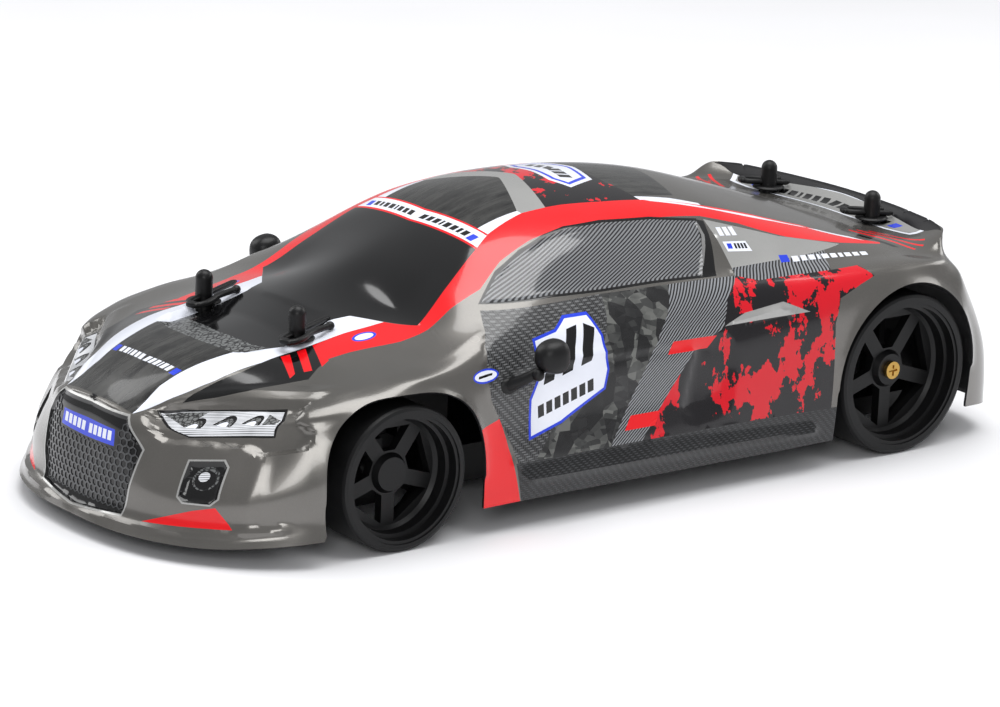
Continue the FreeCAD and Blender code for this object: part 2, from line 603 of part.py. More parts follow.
def rim(name, side, bead, bore, closed, y, height):
    """A deep-dish wheel turned from one profile, with windows cut between its spokes."""
    face = 81.0
    hub = [(face, 0), (79.6, 0), (79.6, bore), (69.5, bore)] if closed else [(face, bore), (69.5, bore)]
    profile = [("track_half - 25.0", bead), ("track_half - 0.6", bead), ("track_half - 0.6", f"{bead} - 1.5"),
               (85.0, f"{bead} - 1.6"), (84.6, f"{bead} - 3.0"), (80.0, f"{bead} - 3.2"),
               (78.6, f"{bead} - 4.6"),
               (78.6, 8.0), (face, 6.6)] + hub
    profile += [(69.5, 6.8), (74.5, 8.0), (74.5, f"{bead} - 4.4"), (73.0, f"{bead} - 2.0"),
                ("track_half - 25.0", f"{bead} - 1.8")]
    body = turned(name, sided(side, profile), y, height)
    size = SIZE[bead]
    spoke_half = 3.0
    corners = []
    for radius, sign in ((9.2, -1), (size - 5.4, -1), (size - 5.4, 1), (9.2, 1)):
        angle = math.pi / SPOKES - math.asin(spoke_half / radius)
        corners.append((round(radius * math.sin(sign * angle), 3), round(radius * math.cos(angle), 3)))
    window = outline(body, name + "_window", "YZ_Plane", corners)
    pocket = body.newObject("PartDesign::Pocket", name + "_pocket")
    pocket.Profile = window
    pocket.Type = "ThroughAll"
    pocket.SideType = "Symmetric"
    doc.recompute()
    pattern = body.newObject("PartDesign::PolarPattern", name + "_windows")
    pattern.Originals = [pocket]
    pattern.Axis = (next(f for f in body.Origin.OriginFeatures if f.Role == "X_Axis"), [""])
    pattern.Angle = 360
    pattern.Occurrences = SPOKES
    body.Tip = pattern
    return body


def tyre(name, side, bead, tread, y):
    """A hard slick tyre with rounded shoulders."""
    inner = "track_half - tyre_width"
    profile = [(f"{inner}", bead), (f"{inner}", f"{tread} - 1.6"), (f"{inner} + 0.6", f"{tread} - 0.5"),
               (f"{inner} + 1.9", tread), ("track_half - 1.9", tread), ("track_half - 0.6", f"{tread} - 0.5"),
               ("track_half", f"{tread} - 1.6"), ("track_half", bead)]
    return turned(name, sided(side, profile), y, tread)


FRONT_BEARING = 4.5
for word, side in SIDES:
    rim("front_rim_" + word, side, "front_bead", FRONT_BEARING, True, "front_axle", "front_tyre")
    tyre("front_tyre_" + word, side, "front_bead", "front_tyre", "front_axle")
    rim("rear_rim_" + word, side, "rear_bead", "axle_radius", False, "front_axle + wheelbase", "rear_tyre")
    tyre("rear_tyre_" + word, side, "rear_bead", "rear_tyre", "front_axle + wheelbase")
    rings = []
    for index, low in enumerate((69.6, 75.8)):
        ring = rod(f"front_bearing_{word}_{index}", "X", FRONT_BEARING, both(side, (low, low + 3)),
                   ("front_axle", "front_tyre"))
        hole = rod(f"front_bearing_hole_{word}_{index}", "X", "spindle_radius + pin_play",
                   both(side, (low - 1, low + 4)),
                   ("front_axle", "front_tyre"))
        rings.append(without(f"front_bearing_ring_{word}_{index}", ring, [hole]))
    group("front_wheel_bearings_" + word, rings)

# ---------------------------------------------------------------- rear pod and drive
GEAR_GAP = SIZE["gear_module"] * (SIZE["spur_teeth"] + SIZE["pinion_teeth"]) / 2
MOTOR_Y = REAR_AXLE - GEAR_GAP
PIVOT_Y = SIZE["pod_pivot_y"]
AXLE_Z = SIZE["rear_tyre"]


def gear(name, teeth, x, width, y, bore, phase):
    """A spur gear about the X direction with straight-flanked teeth and generous backlash."""
    module = SIZE["gear_module"]
    pitch = 2 * math.pi / teeth
    tip = module * (teeth / 2 + 0.75)
    root = module * (teeth / 2 - 1.05)
    points = []
    for index in range(int(teeth)):
        for share, radius in ((-0.27, root), (-0.10, tip), (0.10, tip), (0.27, root)):
            angle = (index + share + phase) * pitch
            points.append(Vector(0, radius * math.cos(angle), radius * math.sin(angle)))
    face = Part.Face(Part.makePolygon(points + points[:1]))
    shape = face.extrude(Vector(width, 0, 0))
    shape = shape.cut(Part.makeCylinder(bore, width + 2, Vector(-1, 0, 0), Vector(1, 0, 0)))
    piece = solid(name, shape)
    piece.Placement.Base = Vector(x, y, AXLE_Z)
    return piece


axle_pieces = [rod("axle_bar", "X", "axle_radius", (-80.4, 80.4), ("front_axle + wheelbase", "rear_tyre"))]
for word, side in SIDES:
    hex_prism = doc.addObject("Part::Prism", f"wheel_hex_{word}")
    hex_prism.Polygon = 6
    hex_prism.Circumradius = 6.9
    hex_prism.Height = 5.0
    hex_prism.Placement = FreeCAD.Placement(Vector(64.4 if side > 0 else -69.4, 0, 0), TURNS["X"])
    tie(hex_prism, _base_y="front_axle + wheelbase", _base_z="rear_tyre")
    axle_pieces.append(hex_prism)
joined("rear_axle", axle_pieces)
gear("spur_gear", SIZE["spur_teeth"], 24.0, 6.0, REAR_AXLE, SIZE["axle_radius"], 0.5)
gear("motor_pinion", SIZE["pinion_teeth"], 23.5, 7.0, MOTOR_Y, 1.6, 0.0)

screws = []
for word, side in SIDES:
    screw_head = Part.makeCylinder(3.7, 1.8, Vector(side * 81.05, REAR_AXLE, AXLE_Z), Vector(side, 0, 0))
    for length, breadth in ((4.6, 1.0), (1.0, 4.6)):
        slot = Part.makeBox(1.0, length, breadth, Vector(82.0 if side > 0 else -83.0, REAR_AXLE - length / 2,
                                                         AXLE_Z - breadth / 2))
        screw_head = screw_head.cut(slot)
    screws.append(screw_head)
solid("rear_wheel_screws", Part.makeCompound(screws))

pod_plus = [
    block("pod_floor", (-38, 19.6), (92.5, 168), (10.0, 12.6)),
    block("pod_neck", (-38, 38), (88.5, 93.0), (10.0, 16.0)),
    rod("pod_tube", "X", 4.0, (-39.6, 39.6), ("pod_pivot_y", "pod_pivot_z")),
    block("pod_side", (-38, -35), (92.5, 168), (10.0, 44.0)),
]
for _, side in SIDES:
    for step in (-1, 1):
        y = 152 + step * 5.4
        pod_plus.append(block(f"pod_ear_{side + 1}_{step + 1}", (side * 44 - 2.5, side * 44 + 2.5),
                              (y - 1.5, y + 1.5), (39, 47)))
    pod_plus.append(rod(f"pod_shock_pin_{side + 1}", "Y", "pin_radius", (145.1, 158.9), (side * 44, 44)))
pod_plus += [
    block("pod_shelf_left", (36.2, 46.5), (148.0, 158.9), (37.6, 39.8)),
    block("pod_shelf_right", (-46.5, -35), (148.0, 158.9), (37.6, 39.8)),
    block("pod_ledge_left", (36.2, 46.5), (145.1, 158.9), (39.4, 39.8)),
    block("pod_ledge_right", (-46.5, -35), (145.1, 158.9), (39.4, 39.8)),
    block("pod_shelf_post", (36.2, 38.5), (150.5, 168.0), (10.0, 39.8)),
    block("pod_tail", (-38, 38.5), (164.2, 168.0), (10.0, 14.0)),
]
pod_minus = [
    rod("pod_tube_bore", "X", "pin_radius + pin_play", (-50, 50), ("pod_pivot_y", "pod_pivot_z")),
    rod("pod_bearing_hole", "X", 5.0, (-40, -30), ("front_axle + wheelbase", "rear_tyre")),
]
without("pod_frame", joined("pod_all", pod_plus), pod_minus)

SPUR_CLEAR = 24.2
housing = Part.makeBox(14.0, 68.0, 50.0, Vector(20.2, 96.0, 10.4))
cavity = Part.makeCylinder(SPUR_CLEAR, 12.0, Vector(22.2, REAR_AXLE, AXLE_Z), Vector(1, 0, 0))
pinion_room = Part.makeCylinder(8.2, 12.0, Vector(22.2, MOTOR_Y, AXLE_Z), Vector(1, 0, 0))
shaft_hole = Part.makeCylinder(6.2, 4.0, Vector(19.0, MOTOR_Y, AXLE_Z), Vector(1, 0, 0))
bearing_hole = Part.makeCylinder(5.0, 4.0, Vector(19.0, REAR_AXLE, AXLE_Z), Vector(1, 0, 0))
bevels = [Part.makeBox(20, 30, 30, Vector(18, 0, 0)) for _ in range(2)]
bevels[0].rotate(Vector(18, 0, 0), Vector(1, 0, 0), 45)
bevels[0].translate(Vector(0, 106, 39))
bevels[1].rotate(Vector(18, 0, 0), Vector(1, 0, 0), 45)
bevels[1].translate(Vector(0, 170, 49))
solid("gearbox_housing", housing.cut([cavity, pinion_room, shaft_hole, bearing_hole] + bevels))
cover = Part.makeBox(1.8, 68.0, 50.0, Vector(34.2, 96.0, 10.4))
cover_hole = Part.makeCylinder(5.0, 4.0, Vector(33.0, REAR_AXLE, AXLE_Z), Vector(1, 0, 0))
solid("gearbox_cover", cover.cut([cover_hole] + bevels))

can = Part.makeCylinder(17.8, 46.0, Vector(-32.0, MOTOR_Y, AXLE_Z), Vector(1, 0, 0))
cap = Part.makeCylinder(12.0, 2.6, Vector(-34.6, MOTOR_Y, AXLE_Z), Vector(1, 0, 0))
nose = Part.makeCylinder(6.0, 6.2, Vector(14.0, MOTOR_Y, AXLE_Z), Vector(1, 0, 0))
motor_bore = Part.makeCylinder(1.65, 12.0, Vector(9.0, MOTOR_Y, AXLE_Z), Vector(1, 0, 0))
solid("motor", can.fuse([cap, nose]).cut(motor_bore))

bearing_rings = []
for x in (-38.2, 20.2, 34.2):
    ring = Part.makeCylinder(4.98, 1.8 if x > 34 else 2.0, Vector(x, REAR_AXLE, AXLE_Z), Vector(1, 0, 0))
    if x < 0:
        ring = Part.makeCylinder(4.98, 3.0, Vector(-38.0, REAR_AXLE, AXLE_Z), Vector(1, 0, 0))
    hole = Part.makeCylinder(SIZE["axle_radius"] + SIZE["pin_play"], 8.0,
                             Vector(x - 2, REAR_AXLE, AXLE_Z), Vector(1, 0, 0))
    bearing_rings.append(ring.cut(hole))
solid("axle_bearings", Part.makeCompound(bearing_rings))

# ---------------------------------------------------------------- battery, electronics, leads
block("battery_pack", (4.0, 42.0), (-36, 76), (FLOOR_TOP, 34))
strap_plus = [
    block("strap_bar", (1.5, 45.0), (19, 31), (34.4, 36.6)),
    rod("strap_hinge_tube", "Y", 2.4, (18.0, 32.0), (47.5, 36)),
    block("strap_root", (44.0, 47.5), (19, 31), (34.6, 37.0)),
]
without("battery_strap", joined("strap_all", strap_plus),
        [rod("strap_bore", "Y", 1.25, (10, 40), (47.5, 36))])
receiver_base = block("receiver_base", (-42, -4), (-40, 30), (FLOOR_TOP, 24))
without("receiver_box", receiver_base, [block("receiver_room", (-40, -6), (-38, 28), (12, 25))])
without("receiver_cover", block("cover_plate", (-42, -4), (-40, 30), (24, 28)),
        [block("cover_room", (-40, -6), (-38, 28), (23, 26.4)),
         block("switch_slot", (-28, -16), (-12, -8), (25, 29))])
joined("power_switch", [block("switch_plate", (-27.8, -19.2), (-11.8, -8.2), (26.7, 28.3)),
                        block("switch_knob", (-25.5, -21.5), (-11.5, -8.5), (28.0, 31.0))])

LEAD_RADIUS = 1.0
BATTERY_LEAD = [Vector(-10, 30.2, 18), Vector(-10.5, 43, 19), Vector(-9, 54, 25), Vector(-3, 62, 34),
                Vector(6, 67, 43), Vector(14, 70, 47), Vector(20, 72, 43), Vector(21, 73, 34.2)]
MOTOR_LEAD = [Vector(-30, 30.2, 18), Vector(-30, 46, 19), Vector(-32, 62, 25), Vector(-33, 77, 32),
              Vector(-30, 94.6, 35)]
SERVO_LEAD = [Vector(-4, -49.6, 40), Vector(-6, -41, 41), Vector(-12, -34, 38.5), Vector(-15, -30.5, 28.5)]
leads = [swept(rounded_path(route), LEAD_RADIUS) for route in (BATTERY_LEAD, MOTOR_LEAD)]
solid("power_leads", Part.makeCompound(leads))
solid("servo_lead", swept(rounded_path(SERVO_LEAD), LEAD_RADIUS))

# ---------------------------------------------------------------- check and write
NODES = """body_shell mirror_left mirror_right
body_clip_front_left body_clip_front_right body_clip_rear_left body_clip_rear_right
front_body_mount rear_body_mount chassis_tub front_bulkhead hinge_pins front_bumper
front_shock_tower rear_shock_tower chassis_screws shock_bodies
front_shock_rod_left front_shock_rod_right front_spring_left front_spring_right
rear_shock_rods rear_springs front_arm_left front_arm_right kingpins_left kingpins_right
knuckle_left knuckle_right tie_rod_left tie_rod_right steering_rack steering_servo servo_horn
front_rim_left front_rim_right front_tyre_left front_tyre_right
rear_rim_left rear_rim_right rear_tyre_left rear_tyre_right
front_wheel_bearings_left front_wheel_bearings_right rear_axle spur_gear motor_pinion
rear_wheel_screws pod_frame gearbox_housing gearbox_cover motor axle_bearings
battery_pack battery_strap receiver_box receiver_cover power_switch power_leads
servo_lead""".split()

doc.recompute()
for piece in doc.Objects:
    if {"Invalid", "Error"} & set(piece.State):
        raise RuntimeError(f"{piece.Label} did not compute")
os.makedirs("parts", exist_ok=True)
for name in NODES:
    node = doc.getObject(name)
    node.Label = name
    shape = node.Shape
    if shape.isNull() or not shape.isValid() or not shape.Solids:
        raise RuntimeError(f"{name} is not a valid solid")
    shape.exportStep(f"parts/{name}.step")
    print(f"{name}: {len(shape.Solids)} solid(s), {shape.Volume:.1f} mm3")
print(len(NODES), "nodes")
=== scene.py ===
import json
import math

import bpy
import numpy as np
from mathutils import Matrix, Vector
from mathutils.bvhtree import BVHTree
from mathutils.geometry import delaunay_2d_cdt
from numpy.linalg import norm


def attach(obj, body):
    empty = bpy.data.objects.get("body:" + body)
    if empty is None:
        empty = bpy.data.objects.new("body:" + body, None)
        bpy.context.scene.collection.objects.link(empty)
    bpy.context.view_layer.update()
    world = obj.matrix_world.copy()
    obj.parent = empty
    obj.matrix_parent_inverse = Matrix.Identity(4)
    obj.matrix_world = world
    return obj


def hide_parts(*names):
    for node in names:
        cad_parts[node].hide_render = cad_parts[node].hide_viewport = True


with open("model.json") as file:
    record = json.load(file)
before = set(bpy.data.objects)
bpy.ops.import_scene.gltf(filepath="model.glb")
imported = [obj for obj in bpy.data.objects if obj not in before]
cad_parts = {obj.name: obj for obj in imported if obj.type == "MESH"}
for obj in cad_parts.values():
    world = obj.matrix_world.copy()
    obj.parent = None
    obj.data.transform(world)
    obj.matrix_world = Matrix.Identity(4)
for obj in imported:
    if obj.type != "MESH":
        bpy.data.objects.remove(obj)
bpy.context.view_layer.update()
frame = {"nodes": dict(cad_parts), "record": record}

# The car is drawn in millimetres, front towards -Y, its left side towards +X, and scaled to metres.
MM = 0.001
SCENE = bpy.context.scene


# ------------------------------------------------------------------ materials
def tint(red, green, blue):
    """A display colour, 0 to 255, as linear light."""
    values = [c / 255.0 for c in (red, green, blue)]
    return tuple(c / 12.92 if c <= 0.04045 else ((c + 0.055) / 1.055) ** 2.4 for c in values) + (1.0,)


class Finish:
    """One procedural material while its nodes are being made."""

    def __init__(self, name, metallic=0.0, coat=0.0, coat_roughness=0.05):
        self.material = bpy.data.materials.new(name)
        self.material.use_nodes = True
        self.tree = self.material.node_tree
        self.shader = self.tree.nodes["Principled BSDF"]
        settings = {"Metallic": metallic, "Coat Weight": coat, "Coat Roughness": coat_roughness,
                    "Specular IOR Level": 0.5 if metallic > 0 else 0.3}
        for socket, value in settings.items():
            self.shader.inputs[socket].default_value = value
        self.place = self.tree.nodes.new("ShaderNodeTexCoord").outputs["Object"]

    def put(self, socket, value):
        if isinstance(value, bpy.types.NodeSocket):
            self.tree.links.new(value, socket)
        else:
            socket.default_value = value

    def add(self, kind, values=None, **settings):
        node = self.tree.nodes.new("ShaderNode" + kind)
        for key, value in settings.items():
            setattr(node, key, value)
        for key, value in (values or {}).items():
            self.put(node.inputs[key], value)
        return node

    def math(self, operation, first, second=0.0):
        return self.add("Math", {0: first, 1: second}, operation=operation).outputs[0]

    def times(self, first, second):
        return self.math("MULTIPLY", first, second)

    def plus(self, first, second):
        return self.math("ADD", first, second)

    def stripes(self, along, pitch):
        """How far a point is from the middle of its stripe, 0 to 0.5; pitch is in millimetres."""
        phase = self.math("FRACT", self.math("DIVIDE", along, pitch * MM))
        return self.math("ABSOLUTE", self.math("SUBTRACT", phase, 0.5))

    def axes(self):
        parts = self.add("SeparateXYZ", {0: self.place}).outputs
        return parts["X"], parts["Y"], parts["Z"]

    def mapped(self, stretch, turn):
        return self.add("Mapping", {"Vector": self.place, "Scale": stretch, "Rotation": turn}).outputs[0]

    def noise(self, scale, detail, stretch=(1, 1, 1), roughness=0.55, turn=(0, 0, 0)):
        return self.add("TexNoise", {"Vector": self.mapped(stretch, turn), "Scale": scale, "Detail": detail,
                                     "Roughness": roughness}).outputs["Fac"]

    def cells(self, scale, output="Color", stretch=(1, 1, 1), turn=(0, 0, 0), feature="F1"):
        values = {"Vector": self.mapped(stretch, turn), "Scale": scale}
        return self.add("TexVoronoi", values, feature=feature).outputs[output]

    def ramp(self, factor, stops, step=False):
        node = self.add("ValToRGB", {0: factor})
        ramp = node.color_ramp
        ramp.interpolation = "CONSTANT" if step else "LINEAR"
        for index, (at, colour) in enumerate(stops):
            point = ramp.elements[index] if index < 2 else ramp.elements.new(at)
            point.position = at
            point.color = colour if len(colour) == 4 else colour + (1.0,)
        return node.outputs["Color"]

    def shade(self, factor, low, high, dark, light):
        return self.ramp(factor, [(low, tint(*dark)), (high, tint(*light))])

    def blend(self, factor, first, second):
        node = self.add("Mix", data_type="RGBA")
        for index, value in ((0, factor), (6, first), (7, second)):
            self.put(node.inputs[index], value)
        return node.outputs[2]

    def spread(self, factor, low, high):
        return self.add("MapRange", {"Value": factor, "From Min": 0.3, "From Max": 0.7,
                                     "To Min": low, "To Max": high}).outputs[0]

    def finish(self, colour, rough, bump=None, strength=0.1, depth=0.0001):
        self.put(self.shader.inputs["Base Color"], colour)
        self.put(self.shader.inputs["Roughness"], rough)
        if bump is not None:
            relief = self.add("Bump", {"Height": bump, "Strength": strength, "Distance": depth})
            self.put(self.shader.inputs["Normal"], relief.outputs[0])
        return self.material


def grained(name, dark, light, rough, scale=260.0, bump=0.12, depth=0.0001, **shader):
    """Plain moulded, cast or painted stuff: two close tints, uneven gloss and a fine grain."""
    f = Finish(name, **shader)
    cloud = f.noise(scale * 0.12, 3)
    fine = f.noise(scale * 6, 2)
    return f.finish(f.shade(cloud, 0.3, 0.7, dark, light), f.spread(cloud, *rough), fine, bump, depth)


def paint(name, dark, light, rough=(0.2, 0.28), metallic=0.0):
    """Glossy film-backed paint, with metal flake where it is metallic."""
    f = Finish(name, metallic=metallic, coat=0.5, coat_roughness=0.06)
    flake = f.cells(4200.0, "Distance")
    cloud = f.noise(22.0, 2)
    base = f.shade(cloud, 0.3, 0.7, dark, light)
    sparkle = f.blend(f.times(flake, 0.25), base, tint(*[min(255, c + 40) for c in light]))
    orange_peel = f.noise(420.0, 1)
    return f.finish(sparkle if metallic else base, f.spread(cloud, *rough), orange_peel, 0.05, 0.00005)


def printed_hatch(name, pitch, along, upright, dark, light):
    """Slanting printed lines in the side view; along and upright are the sine and cosine of their slope."""
    f = Finish(name, coat=0.5, coat_roughness=0.05)
    _, y, z = f.axes()
    slant = f.math("SUBTRACT", f.times(y, along), f.times(z, upright))
    lines = f.shade(f.stripes(slant, pitch), 0.2, 0.3, dark, light)
    soft = f.noise(30.0, 2)
    return f.finish(f.blend(f.times(soft, 0.3), lines, tint(*dark)), f.spread(soft, 0.14, 0.24))


def twill(name, width, dark, light):
    """Carbon cloth in a two-and-two twill on the sides, each tow a little rounded."""
    f = Finish(name, coat=0.4, coat_roughness=0.05)
    tows = [f.math("DIVIDE", axis, width * MM) for axis in f.axes()[1:]]
    cell = f.plus(*[f.math("FLOOR", tow) for tow in tows])
    over = f.math("LESS_THAN", f.math("FLOORED_MODULO", cell, 4.0), 2.0)
    crown_a, crown_b = [f.math("SINE", f.times(f.math("FRACT", tow), math.pi)) for tow in tows]
    height = f.add("Mix", {0: over, 2: f.times(crown_a, 0.55), 3: crown_b}).outputs[0]
    soft = f.noise(60.0, 2)
    colour = f.shade(f.times(height, f.plus(f.times(soft, 0.7), 0.6)), 0.15, 0.95, dark, light)
    return f.finish(colour, f.spread(soft, 0.2, 0.32), height, 0.12, 0.00008)


def forged(name):
    """Forged carbon: flakes of random grey, seen through clear coat."""
    f = Finish(name, coat=0.4, coat_roughness=0.05)
    warp = f.noise(90.0, 3)
    big = f.cells(150.0, "Color", (1, 1, 0.6), (0.6, 0.2, 0.3))
    small = f.cells(420.0, "Color", (1, 0.5, 1), (-0.7, 0.4, 0.0))
    value = f.times(f.add("SeparateXYZ", {0: big}).outputs["X"],
                    f.plus(f.add("SeparateXYZ", {0: small}).outputs["Y"], 0.4))
    grey = f.ramp(f.times(value, f.plus(warp, 0.45)),
                  [(0.0, tint(20, 20, 21)), (0.25, tint(36, 36, 37)), (0.5, tint(62, 63, 62)),
                   (0.85, tint(104, 105, 102))])
    return f.finish(grey, f.spread(warp, 0.18, 0.3), small, 0.03, 0.00005)


def brushed(name, dark, light):
    """Dark streaked panel, its streaks slanting across the bonnet."""
    f = Finish(name, coat=0.4, coat_roughness=0.06)
    streak = f.noise(70.0, 6, (3.2, 0.35, 1), 0.7, (0, 0, 0.35))
    fleck = f.noise(320.0, 4, (1, 0.5, 1))
    value = f.plus(f.times(streak, 0.75), f.times(fleck, 0.25))
    colour = f.shade(value, 0.36, 0.64, dark, light)
    return f.finish(colour, f.spread(streak, 0.2, 0.34), streak, 0.04, 0.00005)


def splatter(name, scale, level):
    """Red thrown over gloss black, with ragged edges and small drops; level is how little of it is red."""
    f = Finish(name, coat=0.4, coat_roughness=0.05)
    blob = f.noise(scale, 7, (1, 1, 0.55), 0.62)
    drops = f.noise(scale * 5.5, 3, (1, 1, 1), 0.5)
    mask = f.plus(f.times(blob, 0.86), f.times(drops, 0.14))
    colour = f.ramp(mask, [(0.0, tint(24, 22, 25)), (level, tint(212, 16, 34))], True)
    return f.finish(colour, f.spread(blob, 0.16, 0.26))


def netted(name, dark, light):
    """A printed net of small cells."""
    f = Finish(name, coat=0.4, coat_roughness=0.06)
    net = f.cells(700.0, "Distance", (1, 0.55, 1), feature="DISTANCE_TO_EDGE")
    return f.finish(f.shade(net, 0.06, 0.16, dark, light), f.spread(f.noise(60.0, 2), 0.25, 0.4))


def halftone(name):
    """Lamp print: fine slanting lines fading from white to grey."""
    f = Finish(name, coat=1.0, coat_roughness=0.03)
    x, y, z = f.axes()
    wave = f.stripes(f.plus(f.math("SUBTRACT", y, x), z), 1.3)
    cloud = f.noise(70.0, 2)
    value = f.plus(wave, f.times(f.math("SUBTRACT", cloud, 0.5), 0.9))
    return f.finish(f.shade(value, 0.1, 0.3, (120, 122, 126), (236, 238, 242)), f.spread(cloud, 0.12, 0.2))


LOOK = {
    "paint": paint("gunmetal_paint", (92, 90, 86), (108, 105, 101), metallic=0.6, rough=(0.22, 0.28)),
    "grey": paint("light_grey_paint", (158, 158, 156), (172, 172, 170), metallic=0.4, rough=(0.25, 0.3)),
    "red": paint("red_paint", (226, 6, 16), (238, 12, 24)),
    "white": paint("white_paint", (228, 232, 244), (240, 243, 252)),
    "blue": paint("blue_paint", (30, 58, 205), (40, 70, 222)),
    "black": paint("gloss_black_paint", (9, 9, 10), (15, 15, 16), (0.1, 0.16)),
    "glass": paint("window_black_paint", (13, 13, 14), (21, 21, 22), (0.08, 0.13)),
    "brushed": brushed("streaked_carbon_print", (16, 16, 17), (66, 66, 64)),
    "twill": twill("carbon_twill_print", 1.0, (16, 16, 18), (112, 113, 114)),
    "skirt": twill("skirt_twill_print", 0.8, (8, 8, 9), (62, 63, 65)),
    "camo": forged("forged_carbon_print"),
    "hatch": printed_hatch("slanting_line_print", 1.0, 0.61, 0.79, (20, 20, 22), (150, 152, 156)),
    "window": printed_hatch("window_line_print", 0.85, 0.34, 0.94, (34, 34, 37), (138, 140, 143)),
    "splat": splatter("red_splatter_print", 55.0, 0.53),
    "net": netted("net_print", (26, 26, 28), (112, 114, 114)),
    "mesh": grained("grille_cell_print", (62, 63, 65), (84, 85, 87), (0.25, 0.35), coat=0.5),
    "lamp": halftone("lamp_print"),
    "tail": paint("tail_lamp_paint", (120, 3, 8), (150, 6, 12), (0.08, 0.12)),
    "liner": grained("shell_inside_film", (26, 26, 28), (38, 38, 40), (0.4, 0.5)),
    "plastic": grained("black_moulded_plastic", (13, 13, 14), (22, 22, 23), (0.36, 0.48), bump=0.25),
    "rim": grained("matte_rim_plastic", (10, 10, 11), (19, 19, 20), (0.34, 0.44), bump=0.2),
    "tyre": grained("hard_tyre_plastic", (13, 13, 14), (22, 22, 23), (0.42, 0.52), bump=0.3),
    "steel": grained("bright_steel", (150, 150, 152), (176, 176, 178), (0.22, 0.34), 500, 0.1,
                     metallic=1.0),
    "brass": grained("brass_plate", (176, 140, 74), (200, 164, 92), (0.24, 0.36), 500, 0.1, metallic=1.0),
    "nylon": grained("gear_nylon_white", (196, 194, 184), (214, 212, 202), (0.4, 0.5)),
    "can": grained("motor_can_metal", (110, 112, 116), (134, 136, 140), (0.26, 0.38), 400, 0.1,
                   metallic=1.0),
    "wrap": grained("battery_film", (14, 15, 18), (22, 23, 27), (0.2, 0.3)),
    "foam": grained("bumper_foam", (22, 22, 23), (34, 34, 35), (0.8, 0.9), bump=0.6, depth=0.0004),
    "rubber": grained("lead_sleeve", (112, 10, 14), (142, 15, 19), (0.45, 0.55)),
    "floor": grained("studio_floor", (238, 238, 240), (243, 243, 245), (0.6, 0.7), 20, 0.02),
}
CAD_LOOKS = (  # first word found in a node's name decides
    ("tyre", "tyre"), ("rim", "rim"), ("spring", "steel"), ("bearing", "steel"), ("pinion", "brass"),
    ("wheel_screws", "brass"), ("screws", "steel"), ("pins", "steel"), ("kingpin", "steel"),
    ("rear_axle", "steel"), ("shock_rod", "steel"), ("spur_gear", "nylon"), ("motor", "can"),
    ("battery_pack", "wrap"), ("bumper", "foam"), ("lead", "rubber"), ("", "plastic"),
)
for node_name, node in frame["nodes"].items():
    look = next(key for word, key in CAD_LOOKS if word in node_name)
    for slot in node.material_slots:
        slot.material = LOOK[look]


# ------------------------------------------------------------------ body shell: form
# Feature columns of the left half from the middle of the nose round the side to the middle of the tail:
# x, y, z of its shoulder, crease, waist, ridge and lower edge.
COLUMNS = [
    (0, -197, 50.3, 0, -200.8, 40, 0, -203, 26, 0, -204.6, 11.5, 0, -208, 7),
    (23, -194.8, 49.4, 25.5, -198.6, 39, 26.5, -200.6, 25, 27.5, -202.2, 11.5, 30, -205.6, 6.8),
    (36, -183.6, 50.8, 42, -189.4, 40, 45.5, -194.2, 25, 47, -196.2, 11.5, 49.5, -199, 6.8),
    (50, -170.6, 53.2, 56, -177.6, 43, 61, -184.6, 26, 63, -186.4, 12, 65.5, -188.6, 7),
    (64, -158, 56.6, 71, -163.6, 47, 75.6, -171.6, 28, 77, -173.2, 13.5, 79.5, -175, 8.6),
    (73, -144.5, 60, 83.6, -149, 51, 87.6, -153.2, 33, 88.6, -154, 15.5, 90, -155.5, 10.4),
    (77.5, -131, 63.3, 88, -131.5, 55, 91.3, -132, 38, 91.6, -132, 18, 91, -132, 11),
    (78, -112, 66.8, 88.5, -112, 60, 92.5, -112, 42, 92, -112, 20, 91, -112, 11),
    (77.5, -91, 69.8, 87.2, -91, 61.5, 91, -91, 42, 91, -91, 20, 90.5, -91, 11.3),
    (74.8, -68, 77, 84.6, -68, 62, 87, -68, 42, 89.8, -68, 20, 90, -68, 11.4),
    (71.5, -43, 82.8, 83.6, -43, 62.6, 86.4, -43, 42, 90, -43, 19.8, 90, -43, 11.5),
    (70, -5, 84.8, 83.4, -5, 63.4, 86.4, -5, 42, 90, -5, 19.5, 90, -5, 11.5),
    (70, 40, 84.6, 84.2, 40, 64.4, 87, 40, 43, 90, 40, 19.2, 90, 40, 11.5),
    (72.5, 76, 84.4, 87, 76, 69, 89.6, 76, 46, 90.5, 76, 19, 90.5, 76, 11.6),
    (75.5, 108, 84, 90.3, 108, 74.5, 93, 108, 50, 92, 108, 20, 91, 108, 12),
    (77.5, 141, 83, 90.8, 141, 77, 94, 141, 55, 93, 141, 22, 91.5, 141, 13),
    (78.4, 163, 82, 88.8, 164, 75, 92.6, 165, 52, 92, 166, 24, 90, 167.5, 14.5),
    (75.2, 173.5, 88.3, 86, 174.3, 72.5, 90.3, 177, 50, 89.6, 180, 26, 88, 182, 14.2),
    (66, 178.8, 89, 76, 182, 70.2, 83, 189.5, 50, 84, 194.5, 26, 82, 197, 12.2),
    (48, 182.8, 89.4, 56, 187.2, 69, 65, 198.8, 48, 69, 204.2, 26, 67, 205.8, 10.6),
    (24, 185.8, 89.7, 28, 190, 69, 34, 202.5, 47, 36, 207.3, 26, 35, 207.9, 10),
    (0, 187, 89.8, 0, 191, 69, 0, 203.5, 47, 0, 208, 26, 0, 208, 10),
]
TAIL = 17            # first column on the edge of the ducktail
